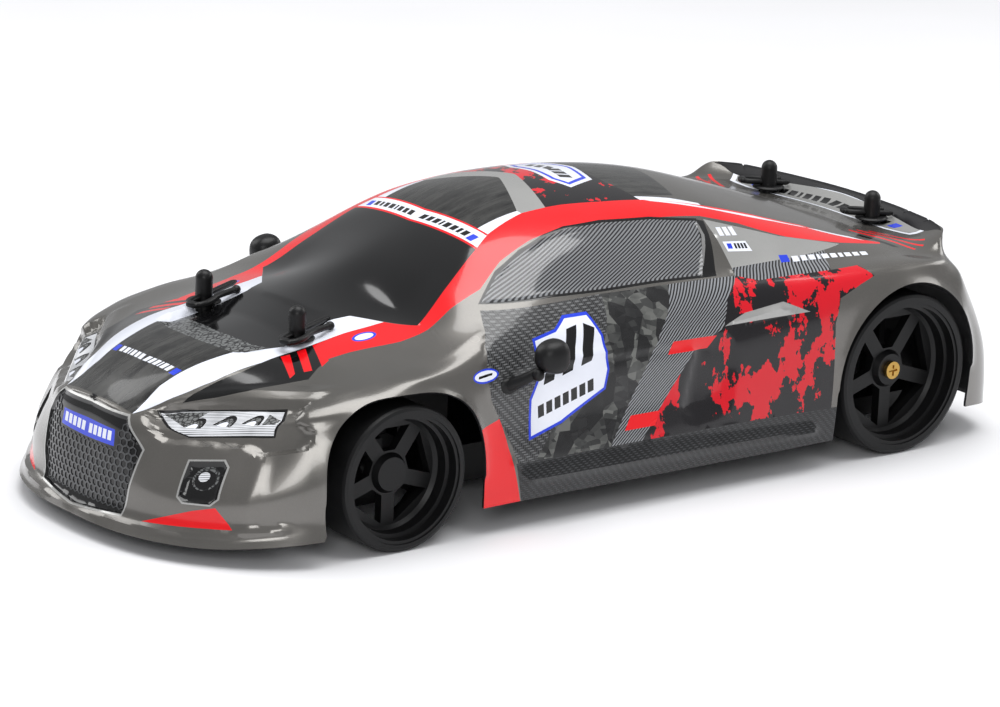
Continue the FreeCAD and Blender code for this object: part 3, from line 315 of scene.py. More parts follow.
# The top along Y: foot of the cabin (x, z), rail of the roof or edge of the bonnet (x, z), middle z.
TOP = [
    (-198, 14, 50.3, 8, 50.5, 50.8),
    (-195, 19, 50.4, 12, 51.4, 52.2),
    (-184, 29, 53.6, 20, 57, 58.4),
    (-171, 42, 57.2, 25, 62.8, 64.6),
    (-158, 51.5, 60.2, 29, 66.6, 68.5),
    (-144, 58.5, 62.8, 34, 68.8, 71.3),
    (-128, 63.5, 65.8, 39, 70.2, 73.8),
    (-108, 65, 69.6, 45, 73.8, 78),
    (-96, 65, 71.6, 50, 75.6, 82.4),
    (-84, 64, 74.6, 52.6, 78.2, 87.6),
    (-66, 62.5, 83.6, 47.8, 89.4, 95.6),
    (-46, 60.6, 92, 41.6, 100.8, 104.8),
    (-32, 59.4, 95.9, 41.4, 105.8, 110.6),
    (-12, 58.6, 98.7, 42, 109.2, 115),
    (14, 58.6, 99.6, 42.2, 110.4, 116.6),
    (40, 59.2, 98.6, 42, 109.2, 115.6),
    (70, 60.6, 95.2, 41.6, 104.8, 111.2),
    (100, 62.4, 91, 42, 97.4, 103.2),
    (130, 64.6, 87, 45, 90.2, 94.4),
    (152, 66.2, 84.6, 49, 85.6, 87.9),
    (168, 65.6, 83.6, 50, 83.6, 84.6),
    (176.5, 62, 85, 48, 84.4, 84.4),
    (187.5, 40, 89.9, 24, 89.9, 89.9),
]
STEP = 2.2           # spacing of the skin's mesh along the car
FOOT_OUT, RAIL_OUT = 0.8, 0.52   # how far out the foot and the rail may be, as parts of the shoulder


def span(knots, at):
    """The gap between knots that each value falls in, and how far along it that is."""
    i = np.clip(np.searchsorted(knots, at, side="right") - 1, 0, len(knots) - 2)
    return i, (at - knots[i]) / (knots[i + 1] - knots[i])


def hermite(knots, points, at):
    """A smooth curve through points, given at knots, read at the values at."""
    knots = np.asarray(knots, float)
    p = np.asarray(points, float)
    wide = [-1] + [1] * (p.ndim - 1)
    gap = np.diff(knots)
    slope = (p[1:] - p[:-1]) / gap.reshape(wide)
    tangent = np.empty_like(p)
    after, before = gap[1:].reshape(wide), gap[:-1].reshape(wide)
    tangent[1:-1] = (slope[:-1] * after + slope[1:] * before) / (after + before)
    tangent[0], tangent[-1] = slope[0], slope[-1]
    i, u = span(knots, at)
    h, u = gap[i].reshape(wide), u.reshape(wide)
    return ((2 * u**3 - 3 * u**2 + 1) * p[i] + (u**3 - 2 * u**2 + u) * h * tangent[i]
            + (3 * u**2 - 2 * u**3) * p[i + 1] + (u**3 - u**2) * h * tangent[i + 1])


def circle(count):
    """Cosine and sine at count even turns."""
    return [(math.cos(2 * math.pi * k / count), math.sin(2 * math.pi * k / count)) for k in range(count)]


def signed_power(value, power):
    return math.copysign(abs(value) ** power, value)


def under_shoulder(index, column):
    """A point just under the shoulder, which keeps that edge tight."""
    shoulder, crease = column[0], column[1]
    if index > TAIL:
        return np.array([shoulder[0] * 0.985, shoulder[1] - 3.4, shoulder[2] - 5.2])
    if index == TAIL:
        return shoulder + np.array([1.6, -1.2, -6.0])
    out = (crease - shoulder) * np.array([1.0, 1.0, 0.0])
    return shoulder + 0.34 * (crease - shoulder) + 0.2 * out + np.array([0, 0, 1.1])


def shell_grid():
    """The left half as a grid of points: along the car, and from the lower edge up to the middle."""
    columns = np.array(COLUMNS, float).reshape(-1, 5, 3)
    mirror = np.array([-1.0, 1.0, 1.0])
    lined = np.concatenate([columns[1:2] * mirror, columns, columns[-2:-1] * mirror])
    count = len(columns)
    chord = norm(np.diff(lined, axis=0), axis=2)[:, [0, 2, 4]].mean(1)
    knots = np.concatenate([[0], np.cumsum(chord)])
    under = np.array([under_shoulder(min(max(i - 1, 0), count - 1), c) for i, c in enumerate(lined)])
    rows = np.stack([lined[:, 0], under] + [lined[:, k] for k in range(1, 5)], 1)
    along = np.linspace(knots[1], knots[-2], int((knots[-2] - knots[1]) / STEP) + 1)
    lines = hermite(knots, rows, along)
    row_knots = np.array([0, 6.0, 20, 40, 62, 70.0])
    down = np.concatenate([np.linspace(row_knots[a], row_knots[a + 1], n, endpoint=False)
                           for a, n in zip(range(5), (4, 8, 9, 10, 5))] + [[70.0]])
    top = np.array(TOP, float)
    heights = hermite(top[:, 0], top[:, 1:], np.clip(lines[:, 0, 1], top[0, 0], top[-1, 0]))
    top_knots = np.array([0, 1.0, 2.2, 3.6, 5.0])
    across = np.linspace(0, 3.6, 38)
    grid = []
    for line, (foot_x, foot_z, rail_x, rail_z, middle) in zip(lines, heights):
        side = hermite(row_knots, line, down)
        edge, y = line[0], line[0][1]
        foot_x, rail_x = min(foot_x, edge[0] * FOOT_OUT), min(rail_x, edge[0] * RAIL_OUT)
        points = [edge, (foot_x, y, foot_z), (rail_x, y, rail_z), (0, y, middle), (-rail_x, y, rail_z)]
        grid.append(np.concatenate([side[::-1], hermite(top_knots, points, across)[1:]]))
    grid = np.array(grid)
    grid[:, -1, 0] = 0.0
    lengths = norm(np.diff(grid, axis=1), axis=2).mean(0)
    return grid, along - along[0], np.concatenate([[0], np.cumsum(lengths)])


GRID, GRID_U, GRID_V = shell_grid()


def grid_at(u, v):
    """Points of the skin at grid coordinates, between the grid's own points."""
    (i, s), (j, t) = span(GRID_U, u), span(GRID_V, v)
    s, t = np.clip(s, 0, 1)[:, None], np.clip(t, 0, 1)[:, None]
    return ((GRID[i, j] * (1 - s) + GRID[i + 1, j] * s) * (1 - t)
            + (GRID[i, j + 1] * (1 - s) + GRID[i + 1, j + 1] * s) * t)


def grid_quads(m, n):
    """The faces of a grid of m by n points."""
    start = (np.arange(m - 1)[:, None] * n + np.arange(n - 1)[None]).reshape(-1)
    return np.stack([start, start + n, start + n + 1, start + 1], 1).tolist()


TREE = BVHTree.FromPolygons(GRID.reshape(-1, 3).tolist(), grid_quads(*GRID.shape[:2]))
# A view is how a flat drawing is laid on the skin: where its two numbers go, and which way it is thrown.
VIEWS = {
    "side": (lambda a, b: (250, a, b), (-1, 0, 0)),
    "top": (lambda a, b: (a, b, 250), (0, 0, -1)),
    "front": (lambda a, b: (a, -400, b), (0, 1, 0)),
    "rear": (lambda a, b: (a, 400, b), (0, -1, 0)),
}
FLAT = {"side": (1, 2), "top": (0, 1), "front": (0, 2), "rear": (0, 2)}
NEAR_MIDDLE = 0.02   # a drawing's point nearer to the middle than this is cast from here
SKIRT_TOP = 16.0     # a drawing's point below this that misses the skin runs off its lower edge


def locate(view, a, b):
    """Grid coordinates of a drawing's point, or None where it misses the skin."""
    place, ray = VIEWS[view]
    if view != "side":
        a = max(a, NEAR_MIDDLE)
    hit, _, face, _ = TREE.ray_cast(Vector(place(a, b)), Vector(ray))
    below = hit is None and view != "top" and b < SKIRT_TOP
    if below:
        hit, _, face, _ = TREE.ray_cast(Vector(place(a, SKIRT_TOP + 0.5)), Vector(ray))
    if hit is None:
        return None
    i, j = divmod(face, GRID.shape[1] - 1)
    corner, du, dv = GRID[i, j], GRID[i + 1, j] - GRID[i, j], GRID[i, j + 1] - GRID[i, j]
    (s, t), *_ = np.linalg.lstsq(np.stack([du, dv], 1), np.array(hit) - corner, rcond=None)
    u = GRID_U[i] + min(max(s, 0), 1) * (GRID_U[i + 1] - GRID_U[i])
    v = GRID_V[j] + min(max(t, 0), 1) * (GRID_V[j + 1] - GRID_V[j])
    if view != "side" and a <= 1.5 * NEAR_MIDDLE:
        if view == "top":      # run past the middle, so that the two halves meet
            v = GRID_V[-1] + 1.0
        else:
            u = -1.0 if view == "front" else GRID_U[-1] + 1.0
    return (u, -1.5 if below else v)


def edges_of(outline, closed=True):
    return zip(outline, outline[1:] + outline[:1] if closed else outline[1:])


def refined(outline, gap=2.0):
    """A drawing's outline with its long edges divided."""
    out = []
    for (a, b), (c, d) in edges_of(outline):
        n = max(1, int(math.hypot(c - a, d - b) / gap))
        out += [(a + (c - a) * k / n, b + (d - b) * k / n) for k in range(n)]
    return out


def band(points, width, closed=False):
    """The outline of a line of some width along points."""
    p = np.array(points, float)
    if closed:
        p = np.concatenate([p[-1:], p, p[:1], p[1:2]])
    step = np.diff(p, axis=0)
    step /= norm(step, axis=1)[:, None]
    normal = np.stack([-step[:, 1], step[:, 0]], 1)
    mitre = np.concatenate([normal[:1], normal[1:] + normal[:-1], normal[-1:]])
    ends = np.array([1.0] + [2.0] * (len(p) - 2) + [1.0])[:, None]
    mitre /= np.maximum((mitre**2).sum(1), 0.6)[:, None] / ends
    left, right = p + mitre * width / 2, p - mitre * width / 2
    if closed:
        left, right = left[1:-1], right[1:-1]
    return [tuple(q) for q in left] + [tuple(q) for q in right[::-1]]


def door_shape(centre, height, half_width, top, squareness=2.0):
    """A wheel arch in the side view, open at the bottom; a squareness of 2 is an ellipse."""
    power = 2.0 / squareness
    rim = []
    for k in range(41):
        across, up = math.cos(math.pi * k / 40), max(math.sin(math.pi * k / 40), 0.0)
        rim.append((centre - half_width * signed_power(across, power),
                    height + (top - height) * up ** power))
    return [(centre - half_width, 4)] + rim + [(centre + half_width, 4)]


def oval(x, y, half_x, half_y):
    return [(x + half_x * c, y + half_y * s) for c, s in circle(20)]


def bars(look, view, start, end, height, widths, gap=1.1, lean=0.25):
    """A row of plain leaning bars from start towards end, in place of lettering."""
    a, d = np.array(start, float), np.subtract(end, start)
    length = float(np.hypot(*d))
    along = d / length
    up = np.array([-along[1], along[0]])
    scale = length / (sum(widths) + gap * (len(widths) - 1))
    row, at = [], 0.0
    for width in widths:
        foot, head = a + along * at, a + along * (at + width * scale)
        lift = up * height + along * height * lean
        row.append((look, view, [tuple(foot), tuple(head), tuple(head + lift), tuple(foot + lift)]))
        at += (width + gap) * scale
    return row


def laid(view, drawings):
    """Drawings with the way that they are laid: look, view and outline."""
    return [(look, view, outline) for look, outline in drawings]


ARCHES = [door_shape(-114, 25, 37, 61.4, 2.7), door_shape(141.7, 34, 38.8, 73.8)]
POSTS = [(32.1, -125.8), (33.2, 171.7)]
POST_HOLE = 4.3      # radius of the hole that a body post stands through
WINDSCREEN = [(0, -108.5), (15, -107.5), (30, -99.5), (45, -88.5), (52.5, -83.5), (40.5, -47), (0, -50)]
WINDOW = [
    (-60.5, 84.6), (-47, 93), (-33, 99), (-19, 103), (-8, 104.8), (10, 105.3), (35, 104), (58, 101),
    (57, 97), (45, 84.4), (19, 85), (-7, 85), (-31, 85.6),
]
GRILLE = [(0, 49.3), (22.5, 48.6), (32.6, 38), (27.6, 12.4), (0, 10)]
LAMP = [(30, 51.5), (35, 53), (66, 57.4), (69.5, 55), (70.5, 48.5), (46, 45.2)]
POCKET = [
    (26.5, 50.6), (38, 41.5), (65, 43), (71, 40.5), (81.5, 44), (82.5, 50), (71, 60), (44, 57.2),
    (33, 54.6),
]
FOG = [(50, 36.6), (60.5, 38), (62.5, 36), (64, 25), (62, 22.6), (53, 22.2), (51, 24)]
REAR_LAMP = [(38.6, 65.6), (71.6, 66.6), (75.8, 61), (72, 58.4), (41.4, 58)]
REAR_PANEL = [(0, 67.4), (36, 68), (73.6, 68.8), (79.4, 60.4), (73.4, 56), (38, 55.6), (0, 55.2)]
REAR_VENT = [(64, 36), (74, 37.6), (75.4, 27), (70, 22.4), (65.4, 24)]
DIFFUSER_BAYS = [
    [(2, 27), (14, 27), (15, 12.4), (2, 12)], [(16.6, 27), (29, 27), (31.4, 13), (17.6, 12.6)],
    [(31.6, 27), (43, 27), (47, 13.6), (34, 13.2)], [(45.6, 27), (53, 27), (59, 14), (49.6, 13.8)],
]
DOOR_FRONT = [(-64, 80), (-71, 73), (-73, 65), (-72, 53), (-65, 40), (-63, 28)]
WEDGE = [(38, 12), (57, 19.6), (64, 21.6), (70, 14)]
SCOOP = [(46.4, 66.2), (57, 70.4), (76, 73), (88, 68)]
RAIL_TOP = [
    (52.5, -83.5), (40.5, -47), (36.8, -38.4), (33, -19), (34, 0), (36, 19), (37, 44), (40, 69),
    (42, 95), (47, 118), (57, 133), (65, 147),
]
RAIL_LOW = [
    (66.5, 146), (64, 125), (59, 100), (51, 80), (47.5, 62), (48, 36), (47.2, 11), (46.6, -9),
    (48, -26), (51, -43), (57, -57), (56.5, -71), (58, -82.5),
]
STRIPE_IN = [
    (23, -194.4), (21.3, -181), (23.8, -165), (26.5, -151.3), (30.8, -127), (27.5, -108), (30, -99.5),
]
STRIPE_OUT = [(41.5, -91.5), (40, -109), (39.6, -130), (39.6, -147), (36, -166), (32, -176), (28, -185)]
NUMBER_PANEL = [
    (-53, 36), (-52, 50), (-47, 59), (-48, 72), (-37, 74), (-31, 78), (-20, 78), (-15.5, 70), (-14, 57),
    (-16, 50), (-38, 40),
]
WORD = (3, 2.6, 2.8, 1.2, 3, 2.8, 1.8, 2.8, 2.6, 3)
BADGES = [
    # the light grey patch behind the B-pillar is a painted highlight
    ("grey", "side", [(62.6, 101), (76, 97.4), (96, 92), (124, 86.8), (100, 86.2), (61, 85.4)]),
    ("hatch", "side", [(60, 83), (61, 85.4), (100, 86.2), (112, 86.4), (104, 82), (69, 81)]),
    ("red", "side", [(-6.5, 31.5), (9, 31.5), (12, 37), (-3, 37)]),
    ("red", "side", [(17, 58.5), (38, 58.5), (42, 63.2), (20, 63.2)]),
    ("blue", "side", band(NUMBER_PANEL, 2.2, True)),
    ("white", "side", NUMBER_PANEL),
    ("black", "side", [(-46, 55), (-40.6, 56.4), (-36.4, 71.4), (-41.8, 70.4)]),
    ("black", "side", [(-36.4, 57.4), (-31, 58.8), (-26.4, 75.4), (-31.8, 74.4)]),
    ("black", "side", [(-26.8, 59.8), (-21.4, 61.2), (-18, 73.4), (-23, 75.6)]),
    ("blue", "front", [(0, 43.2), (18, 42.8), (18.6, 36.6), (0, 36.2)]),
    ("black", "top", [(47, 142), (49, 139), (70, 150), (71, 153)]),
    ("red", "top", [(46, 147), (48, 145), (74, 158.6), (73.6, 160)]),
    ("red", "top", [(45, 152.4), (47, 150.6), (73.4, 164), (72.8, 165.2)]),
    ("red", "top", [(46, 158), (48, 156.6), (70, 168.2), (69, 169.2)]),
    ("white", "top", [(0, 170), (44, 169), (58, 171), (62.5, 177.6), (47, 181.6), (24, 184.6),
     (0, 185.8)]),
    ("grey", "top", [(0, 171.4), (44, 170.4), (56, 172.4), (59.4, 177), (46, 180.2), (24, 183.2),
     (0, 184.4)]),
    ("white", "top", [(0, 33.4), (17.4, 29.6), (22.4, 14.6), (13, 10.6), (0, 11.6)]),
    ("blue", "top", [(0, 31.6), (15.6, 28), (20, 15.8), (12.4, 12.6), (0, 13.4)]),
    ("white", "top", [(0, 30), (14, 26.8), (17.8, 16.8), (12, 14.4), (0, 15)]),
    ("blue", "side", oval(-74.5, 62.6, 6.6, 2.7)),
    ("white", "side", oval(-74.5, 62.6, 5.8, 2)),
    ("glass", "side", [(-78.4, 61.9), (-71.2, 62.4), (-70.8, 63.3), (-78, 62.9)]),
    ("blue", "top", oval(46.6, -104.5, 3, 5.4)),
    ("white", "top", oval(46.6, -104.5, 2.1, 4.2)),
    ("white", "side", [(63.8, 90.6), (76, 89.6), (76, 92.8), (64, 93.8)]),
]
BARS = [  # look, view, start, end, height, widths, and the gap and lean where they differ
    ("black", "side", (-49, 42.4), (-21, 49.6), 4.6, (2.6,) * 7, 1),
    ("blue", "rear", (2, 45), (17.6, 45.2), 4, (2.4,) * 5, 1, 0),
    ("white", "front", (1.4, 37.9), (16.4, 38.2), 3.6, (2.4,) * 5, 1, 0),
    ("glass", "top", (3, -44.2), (31, -42.2), -2.9, WORD[:8]),
    ("blue", "top", (32.4, -42.1), (35.8, -41.9), -3.6, (3,)),
    ("white", "top", (1.2, -172.6), (17.6, -172), -3, WORD[:6]),
    ("blue", "top", (18.8, -171.9), (22, -171.6), -3.4, (3,)),
    ("white", "top", (73, 92), (75.6, 131), 2.9, WORD),
    ("blue", "top", (72.2, 86), (72.6, 90.4), 3.6, (4,)),
    ("glass", "top", (1.6, 180.4), (40, 177.4), -4.4, WORD[:8]),
    ("blue", "top", (42.6, 177.4), (47.4, 177), -4.2, (3,)),
    ("black", "top", (1.4, 24.6), (14, 22.2), -5.2, (3.2,) * 3),
    ("glass", "side", (68.4, 91.1), (74.6, 90.6), 1.7, (2,) * 4, 0.9),
    ("blue", "side", (64.8, 91.4), (67.2, 91.2), 1.7, (2,)),
    ("white", "side", (64.8, 95.6), (74, 94.8), 2.6, (2.4,) * 3, 0.9),
]
BADGES += [bar for row in BARS for bar in bars(*row)]
LENSES = ((43.5, 48.9, 3.0), (52.0, 50.6, 3.1), (60.6, 52.2, 3.1))  # x, z, radius
LENS_HIGHLIGHT = 0.6      # size of the painted highlight in a lens, as a part of it
for lens_x, lens_z, radius in LENSES:
    arc = [(lens_x + radius * math.cos(t), lens_z + radius * math.sin(t))
           for t in np.linspace(0.2, 2.95, 12)]
    # the white spot inside each lens arc is a painted highlight
    spot = [(lens_x + (a - lens_x) * LENS_HIGHLIGHT, lens_z + (b - lens_z) * LENS_HIGHLIGHT) for a, b in arc]
    BADGES += [("net", "front", arc), ("black", "front", band(arc, 0.6)), ("white", "front", spot)]
BADGES += [("net", "front", [(62.6, 56.2), (68.6, 55.4), (69.2, 53.4), (64.6, 53.2)]),
           ("net", "front", [(31, 51.6), (35, 52.8), (43, 54), (41, 49.4)]),
           ("net", "front", oval(57.2, 31.6, 4.3, 4.3)), ("glass", "front", oval(57.2, 31.2, 3.4, 3.4)),
           ("lamp", "front", oval(56.4, 32.2, 1.8, 1.8))]
# Later drawings lie over earlier ones, and "cut" takes the skin away.
LIVERY = laid("top", [
    ("brushed", [(0, -196.3)] + STRIPE_IN[:4] + [(14, -154), (0, -154.6)]),
    ("net", [(0, -154.6), (14, -154), (26.5, -151.3), (30.4, -134), (21, -139), (0, -141)]),
    ("glass", [(0, -141), (21, -139), (30.4, -134)] + STRIPE_IN[4:] + [(15, -107.5),
     (0, -108.5)]),
    ("white", STRIPE_IN + STRIPE_OUT),
    ("black", [(34, -179), (35.8, -170), (39.6, -156), (40, -121), (52, -125), (55, -132),
     (59, -139), (50, -160), (42, -170)]),
    ("red", [(40, -121), (40, -109), (41.5, -91.5), (52.5, -83.4), (58, -82.5), (57.6, -95),
     (53, -116), (52, -125)]),
    ("red", [(40.4, -139), (40.8, -135), (53, -141), (54, -144)]),
    ("red", [(40.4, -131.5), (40.4, -127.5), (55, -134.5), (54, -137.6)]),
    ("red", [(40, -124), (40, -120), (53, -125.5), (55, -130)]),
    ("glass", WINDSCREEN),
    ("white", [(0, -50), (40.5, -47), (36.8, -38.4), (0, -41.5)]),
    ("red", [(0, -50), (40.5, -47), (40.2, -46), (0, -49)]),
    ("red", [(0, -42.4), (37.1, -39.3), (36.8, -38.4), (0, -41.5)]),
    ("brushed", [(0, -41.5), (30.8, -39), (30.8, -19.5), (0, -5)]),
    ("white", [(30.8, -39), (36.8, -38.4), (33, -19), (30.8, -18)]),
    ("grey", [(0, -5), (30.8, -19.5), (33, -19), (34, -7.5), (0, 3)]),
    ("splat", [(0, 3), (34, -7.5), (34, 0), (36, 19), (37, 39), (19, 33.5), (0, 31)]),
    ("brushed", [(0, 31), (19, 33.5), (34, 38), (33, 60), (0, 66)]),
    ("white", [(34, 38), (37, 39), (37, 44), (40, 69), (38.4, 69), (35.5, 56)]),
    ("red", RAIL_TOP + RAIL_LOW),
    ("white", [(36.4, 40), (39.6, 62), (41.8, 74), (43.4, 95), (48.2, 117), (58.6, 134),
     (62.4, 141), (57.6, 136.4), (50.6, 124), (46.6, 104), (44, 82), (41, 62), (38, 44)]),
]) + laid("side", [
    ("black", band(WINDOW, 1.6, True)),
    ("window", WINDOW),
    ("black", [(58.4, 101.4), (62, 100.6), (51.5, 83.6), (45, 83.6)]),
    ("twill", [(-63, 82.5), (-8, 83.6), (-16, 62), (-40, 40), (-52, 26), (-60, 26.5), (-65, 40),
     (-72, 53), (-73.5, 65), (-71, 73)]),
    ("camo", [(-8, 83.6), (26, 83.2), (9, 60), (-14, 26.5), (-52, 26), (-40, 40), (-16, 62)]),
    ("hatch", [(26, 83.2), (60, 83), (50, 76), (46, 66), (31, 59), (2, 26.5), (-14, 26.5),
     (9, 60)]),
    ("splat", [(60, 83), (69, 81), (118, 82.4), (122, 79), (114, 76.4), (103, 72), (100, 62),
     (100, 26.5), (2, 26.5), (31, 59), (46, 66), (50, 76)]),
    # light grey over the raised facet on the door is a painted reflection
    ("grey", SCOOP),
    ("skirt", [(-57.5, 4), (-61, 26.5), (104, 26.5), (104, 4)]),
    ("red", [(-82, 42), (-68, 45), (-63, 30), (-57.5, 4), (-82, 4)]),
]) + laid("front", [
    ("grey", band([(0, 49.3)] + GRILLE[1:4] + [(0, 10)], 1.5)),
    ("black", GRILLE),
    ("black", band(LAMP, 1.2, True)),
    ("lamp", LAMP),
    ("grey", band(FOG, 1.3, True)),
    ("black", FOG),
    ("red", WEDGE),
]) + laid("rear", [
    ("black", REAR_PANEL),
    ("net", [(0, 65), (31, 65.6), (35.4, 58.4), (0, 57.6)]),
    ("tail", REAR_LAMP),
    ("red", [(42, 63.4), (70, 64.4), (71.6, 62.4), (42.6, 61.4)]),
    ("grey", band([(0, 37), (30, 37.4), (58, 39), (72, 42.4)], 0.7)),
    ("white", [(0, 51.4), (20.6, 51.2), (20.6, 42.8), (0, 42.6)]),
    ("black", REAR_VENT),
    ("skirt", [(0, 29), (54, 29), (62, 12.4), (0, 10.4)]),
])
LIVERY += [("black", "rear", bay) for bay in DIFFUSER_BAYS] + BADGES
LIVERY += [("cut", "side", arch) for arch in ARCHES]
LIVERY += [("cut", "top", oval(x, y, POST_HOLE, POST_HOLE)) for x, y in POSTS]


CLEAR = 0.7          # a grid point nearer than this to a drawn point is left out
BATCH = 40           # drawn points compared with the grid at a time


def drawn_on_grid(view, outline):
    found = [locate(view, a, b) for a, b in refined(outline)]
    return [p for p in found if p is not None]


def inside(points, outline):
    """Which of the points lie inside the outline."""
    x, y = points[:, 0], points[:, 1]
    result = np.zeros(len(points), bool)
    for (ax, ay), (bx, by) in edges_of(outline):
        crosses = (ay > y) != (by > y)
        with np.errstate(divide="ignore", invalid="ignore"):
            at = (bx - ax) * (y - ay) / (by - ay) + ax
        result ^= crosses & (x < at)
    return result


def reach(points, outline, closed=True):
    """How far each point is from the outline's edges."""
    best = np.full(len(points), 1e9)
    for start, end in edges_of(outline, closed):
        a, d = np.array(start, float), np.subtract(end, start)
        length = max(float(d @ d), 1e-9)
        t = np.clip(((points - a) @ d) / length, 0, 1)
        best = np.minimum(best, norm(points - a - t[:, None] * d, axis=1))
    return best


def compact(points, faces):
    """Only the points that the faces use, and the faces numbered for them."""
    used, numbered = np.unique(faces, return_inverse=True)
    return points[used], numbered.reshape(faces.shape)


def skin_triangles():
    """The left half cut along every drawn edge: grid coordinates, triangles, and each triangle's look."""
    drawings = [(look, drawn_on_grid(view, outline)) for look, view, outline in LIVERY]
    points, edges = [], []
    for _, line in drawings:
        first = len(points)
        points += line
        edges += [(first + k, first + (k + 1) % len(line)) for k in range(len(line))]
    u, v = np.meshgrid(GRID_U, GRID_V, indexing="ij")
    nodes = np.stack([u.ravel(), v.ravel()], 1)
    far_u, far_v = GRID_U[-1], GRID_V[-1]
    border = ((nodes < 1e-6) | (nodes > (far_u - 1e-6, far_v - 1e-6))).any(1)
    drawn = np.array(points)
    crowded = np.zeros(len(nodes), bool)
    for a in range(0, len(drawn), BATCH):
        near = drawn[a:a + BATCH]
        low, high = near.min(0) - CLEAR, near.max(0) + CLEAR
        pick = np.nonzero(((nodes > low) & (nodes < high)).all(1))[0]
        if len(pick):
            gaps = norm(nodes[pick, None] - near[None], axis=2).min(1)
            crowded[pick[gaps < CLEAR]] = True
    nodes = nodes[border | ~crowded]
    first = len(points)
    points += [(0, 0), (far_u, 0), (far_u, far_v), (0, far_v)]
    edges += [(first + k, first + (k + 1) % 4) for k in range(4)]
    points += nodes.tolist()
    flat, _, triangles, *_ = delaunay_2d_cdt([Vector(p) for p in points], edges, [], 0, 1e-4)
    flat = np.array([tuple(p) for p in flat])
    triangles = np.array([tuple(t) for t in triangles])
    middle = flat[triangles].mean(1)
    keep = ((middle > 0) & (middle < (far_u, far_v))).all(1)
    looks = np.array(["paint"] * len(triangles), dtype="<U10")
    for look, line in drawings:
        looks[inside(middle, line)] = look
    keep &= looks != "cut"
    return flat, triangles[keep], looks[keep]


def pressed(view, spots, outline, height, slope, where):
    """How far each spot moves for a raised panel, or a pressed one if height is below 0."""
    drawn = spots[:, FLAT[view]]
    into = np.where(inside(drawn, outline), reach(drawn, outline), 0.0)
    return height * np.clip(into / slope, 0, 1) * where


def ridged(view, spots, line, height, slope, where):
    """How far each spot moves for a raised line, or a groove if height is below 0."""
    gap = reach(spots[:, FLAT[view]], line, closed=False)
    return height * np.clip(1 - gap / slope, 0, 1) * where


def mirrored(outline):
    """A half outline that starts and ends in the middle, as a whole one."""
    return outline + [(-a, b) for a, b in reversed(outline) if a > 0.01]


BUMPER_LIP = [(0, 8.6), (38, 10), (54, 11), (70, 12), (82, 15)]
BUMPER_CREASE = [(71, 41), (73, 29), (74, 15)]
LAMP_BROW = [(24, 52.6), (34, 56.4), (45, 59.4), (70, 61.6)]
DOOR_CREASE = [(-66, 63), (0, 63.8), (46, 65)]
SKIRT_EDGE = [(-55, 20), (91, 18)]
COWL = [(0, -154.6), (14, -154), (26.5, -151.3), (31, -140), (36, -118), (34, -100), (16, -107), (0, -108)]
DOOR_VENT = [(31, 62), (44, 63), (50, 61), (53, 50), (48, 34), (30, 30), (22, 34)]
ARCH_LIP, ARCH_LIP_WIDTH = 0.9, 3.5


def formed(spots, normals):
    """The pressed and raised features of the shell."""
    x, y, z = spots.T
    nose, middle, tail = y < -120, np.abs(y) < 130, y > 150
    low, flank = z < 30, x > 60
    fade = np.clip((-106 - y) / 18, 0, 1)
    features = [  # how, view, drawing, height, width of the slope, where
        (pressed, "front", POCKET, -2.8, 1.8, nose & (z > 38)),
        (pressed, "front", FOG, -1.8, 1.2, nose),
        (ridged, "front", BUMPER_LIP, 1.3, 2.2, nose & low),
        (ridged, "front", BUMPER_CREASE, 1.0, 3.0, nose),
        (ridged, "front", LAMP_BROW, 0.8, 2.0, nose),
        (ridged, "side", DOOR_CREASE, 0.9, 2.6, middle & flank),
        (ridged, "side", SKIRT_EDGE, 2.2, 3.4, middle & flank),
        (ridged, "side", DOOR_FRONT, -0.5, 0.9, middle & flank),
        (pressed, "front", mirrored(GRILLE), -1.2, 0.9, nose),
        (pressed, "top", mirrored(COWL), -2.6, 1.4, (y < -90) * fade),
        (pressed, "side", WINDOW, -0.5, 0.8, middle & (x > 30)),
        (pressed, "side", SCOOP, 1.6, 3.0, middle),
        (pressed, "side", DOOR_VENT, -1.6, 4.0, middle & flank),
    ]
    features += [(pressed, "rear", bay, -1.6, 3.0, tail & low) for bay in DIFFUSER_BAYS]
    features += [(pressed, "rear", outline, height, 2.4, tail)
                 for outline, height in ((REAR_VENT, -1.2), (REAR_LAMP, 0.8), (mirrored(REAR_PANEL), -1.2))]
    move = sum(raise_by(view, spots, *shape) for raise_by, view, *shape in features)
    for arch in ARCHES:
        gap = reach(spots[:, FLAT["side"]], arch[1:-1], closed=False)
        move += np.clip(1 - gap / ARCH_LIP_WIDTH, 0, 1) ** 2 * ARCH_LIP * flank
    return spots + normals * move[:, None]


def vertex_normals(spots, triangles):
    a, b, c = (spots[triangles[:, k]] for k in range(3))
    face = np.cross(b - a, c - a)
    total = np.zeros_like(spots)
    for k in range(3):
        np.add.at(total, triangles[:, k], face)
    return total / np.maximum(norm(total, axis=1), 1e-9)[:, None]


def new_object(name, spots, faces, look, body="chassis", smooth=True):
    """A mesh object in metres from points in millimetres."""
    mesh = bpy.data.meshes.new(name)
    faces = [[int(i) for i in face] for face in faces]
    mesh.from_pydata((np.asarray(spots, float) * MM).tolist(), [], faces)
    mesh.polygons.foreach_set("use_smooth", [smooth] * len(mesh.polygons))
    mesh.update()
    mesh.materials.append(LOOK[look])
    thing = bpy.data.objects.new(name, mesh)
    SCENE.collection.objects.link(thing)
    if body:
        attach(thing, body)
    return thing


SHELL_WALL = 1.0     # thickness of the shell
ROOF = 95            # the skin above this faces up
SLIVER = 2e-4        # a triangle with less than half of this, in square millimetres, is dropped
SHARP = 32           # an edge with a sharper turn than this, in degrees, shows as an edge


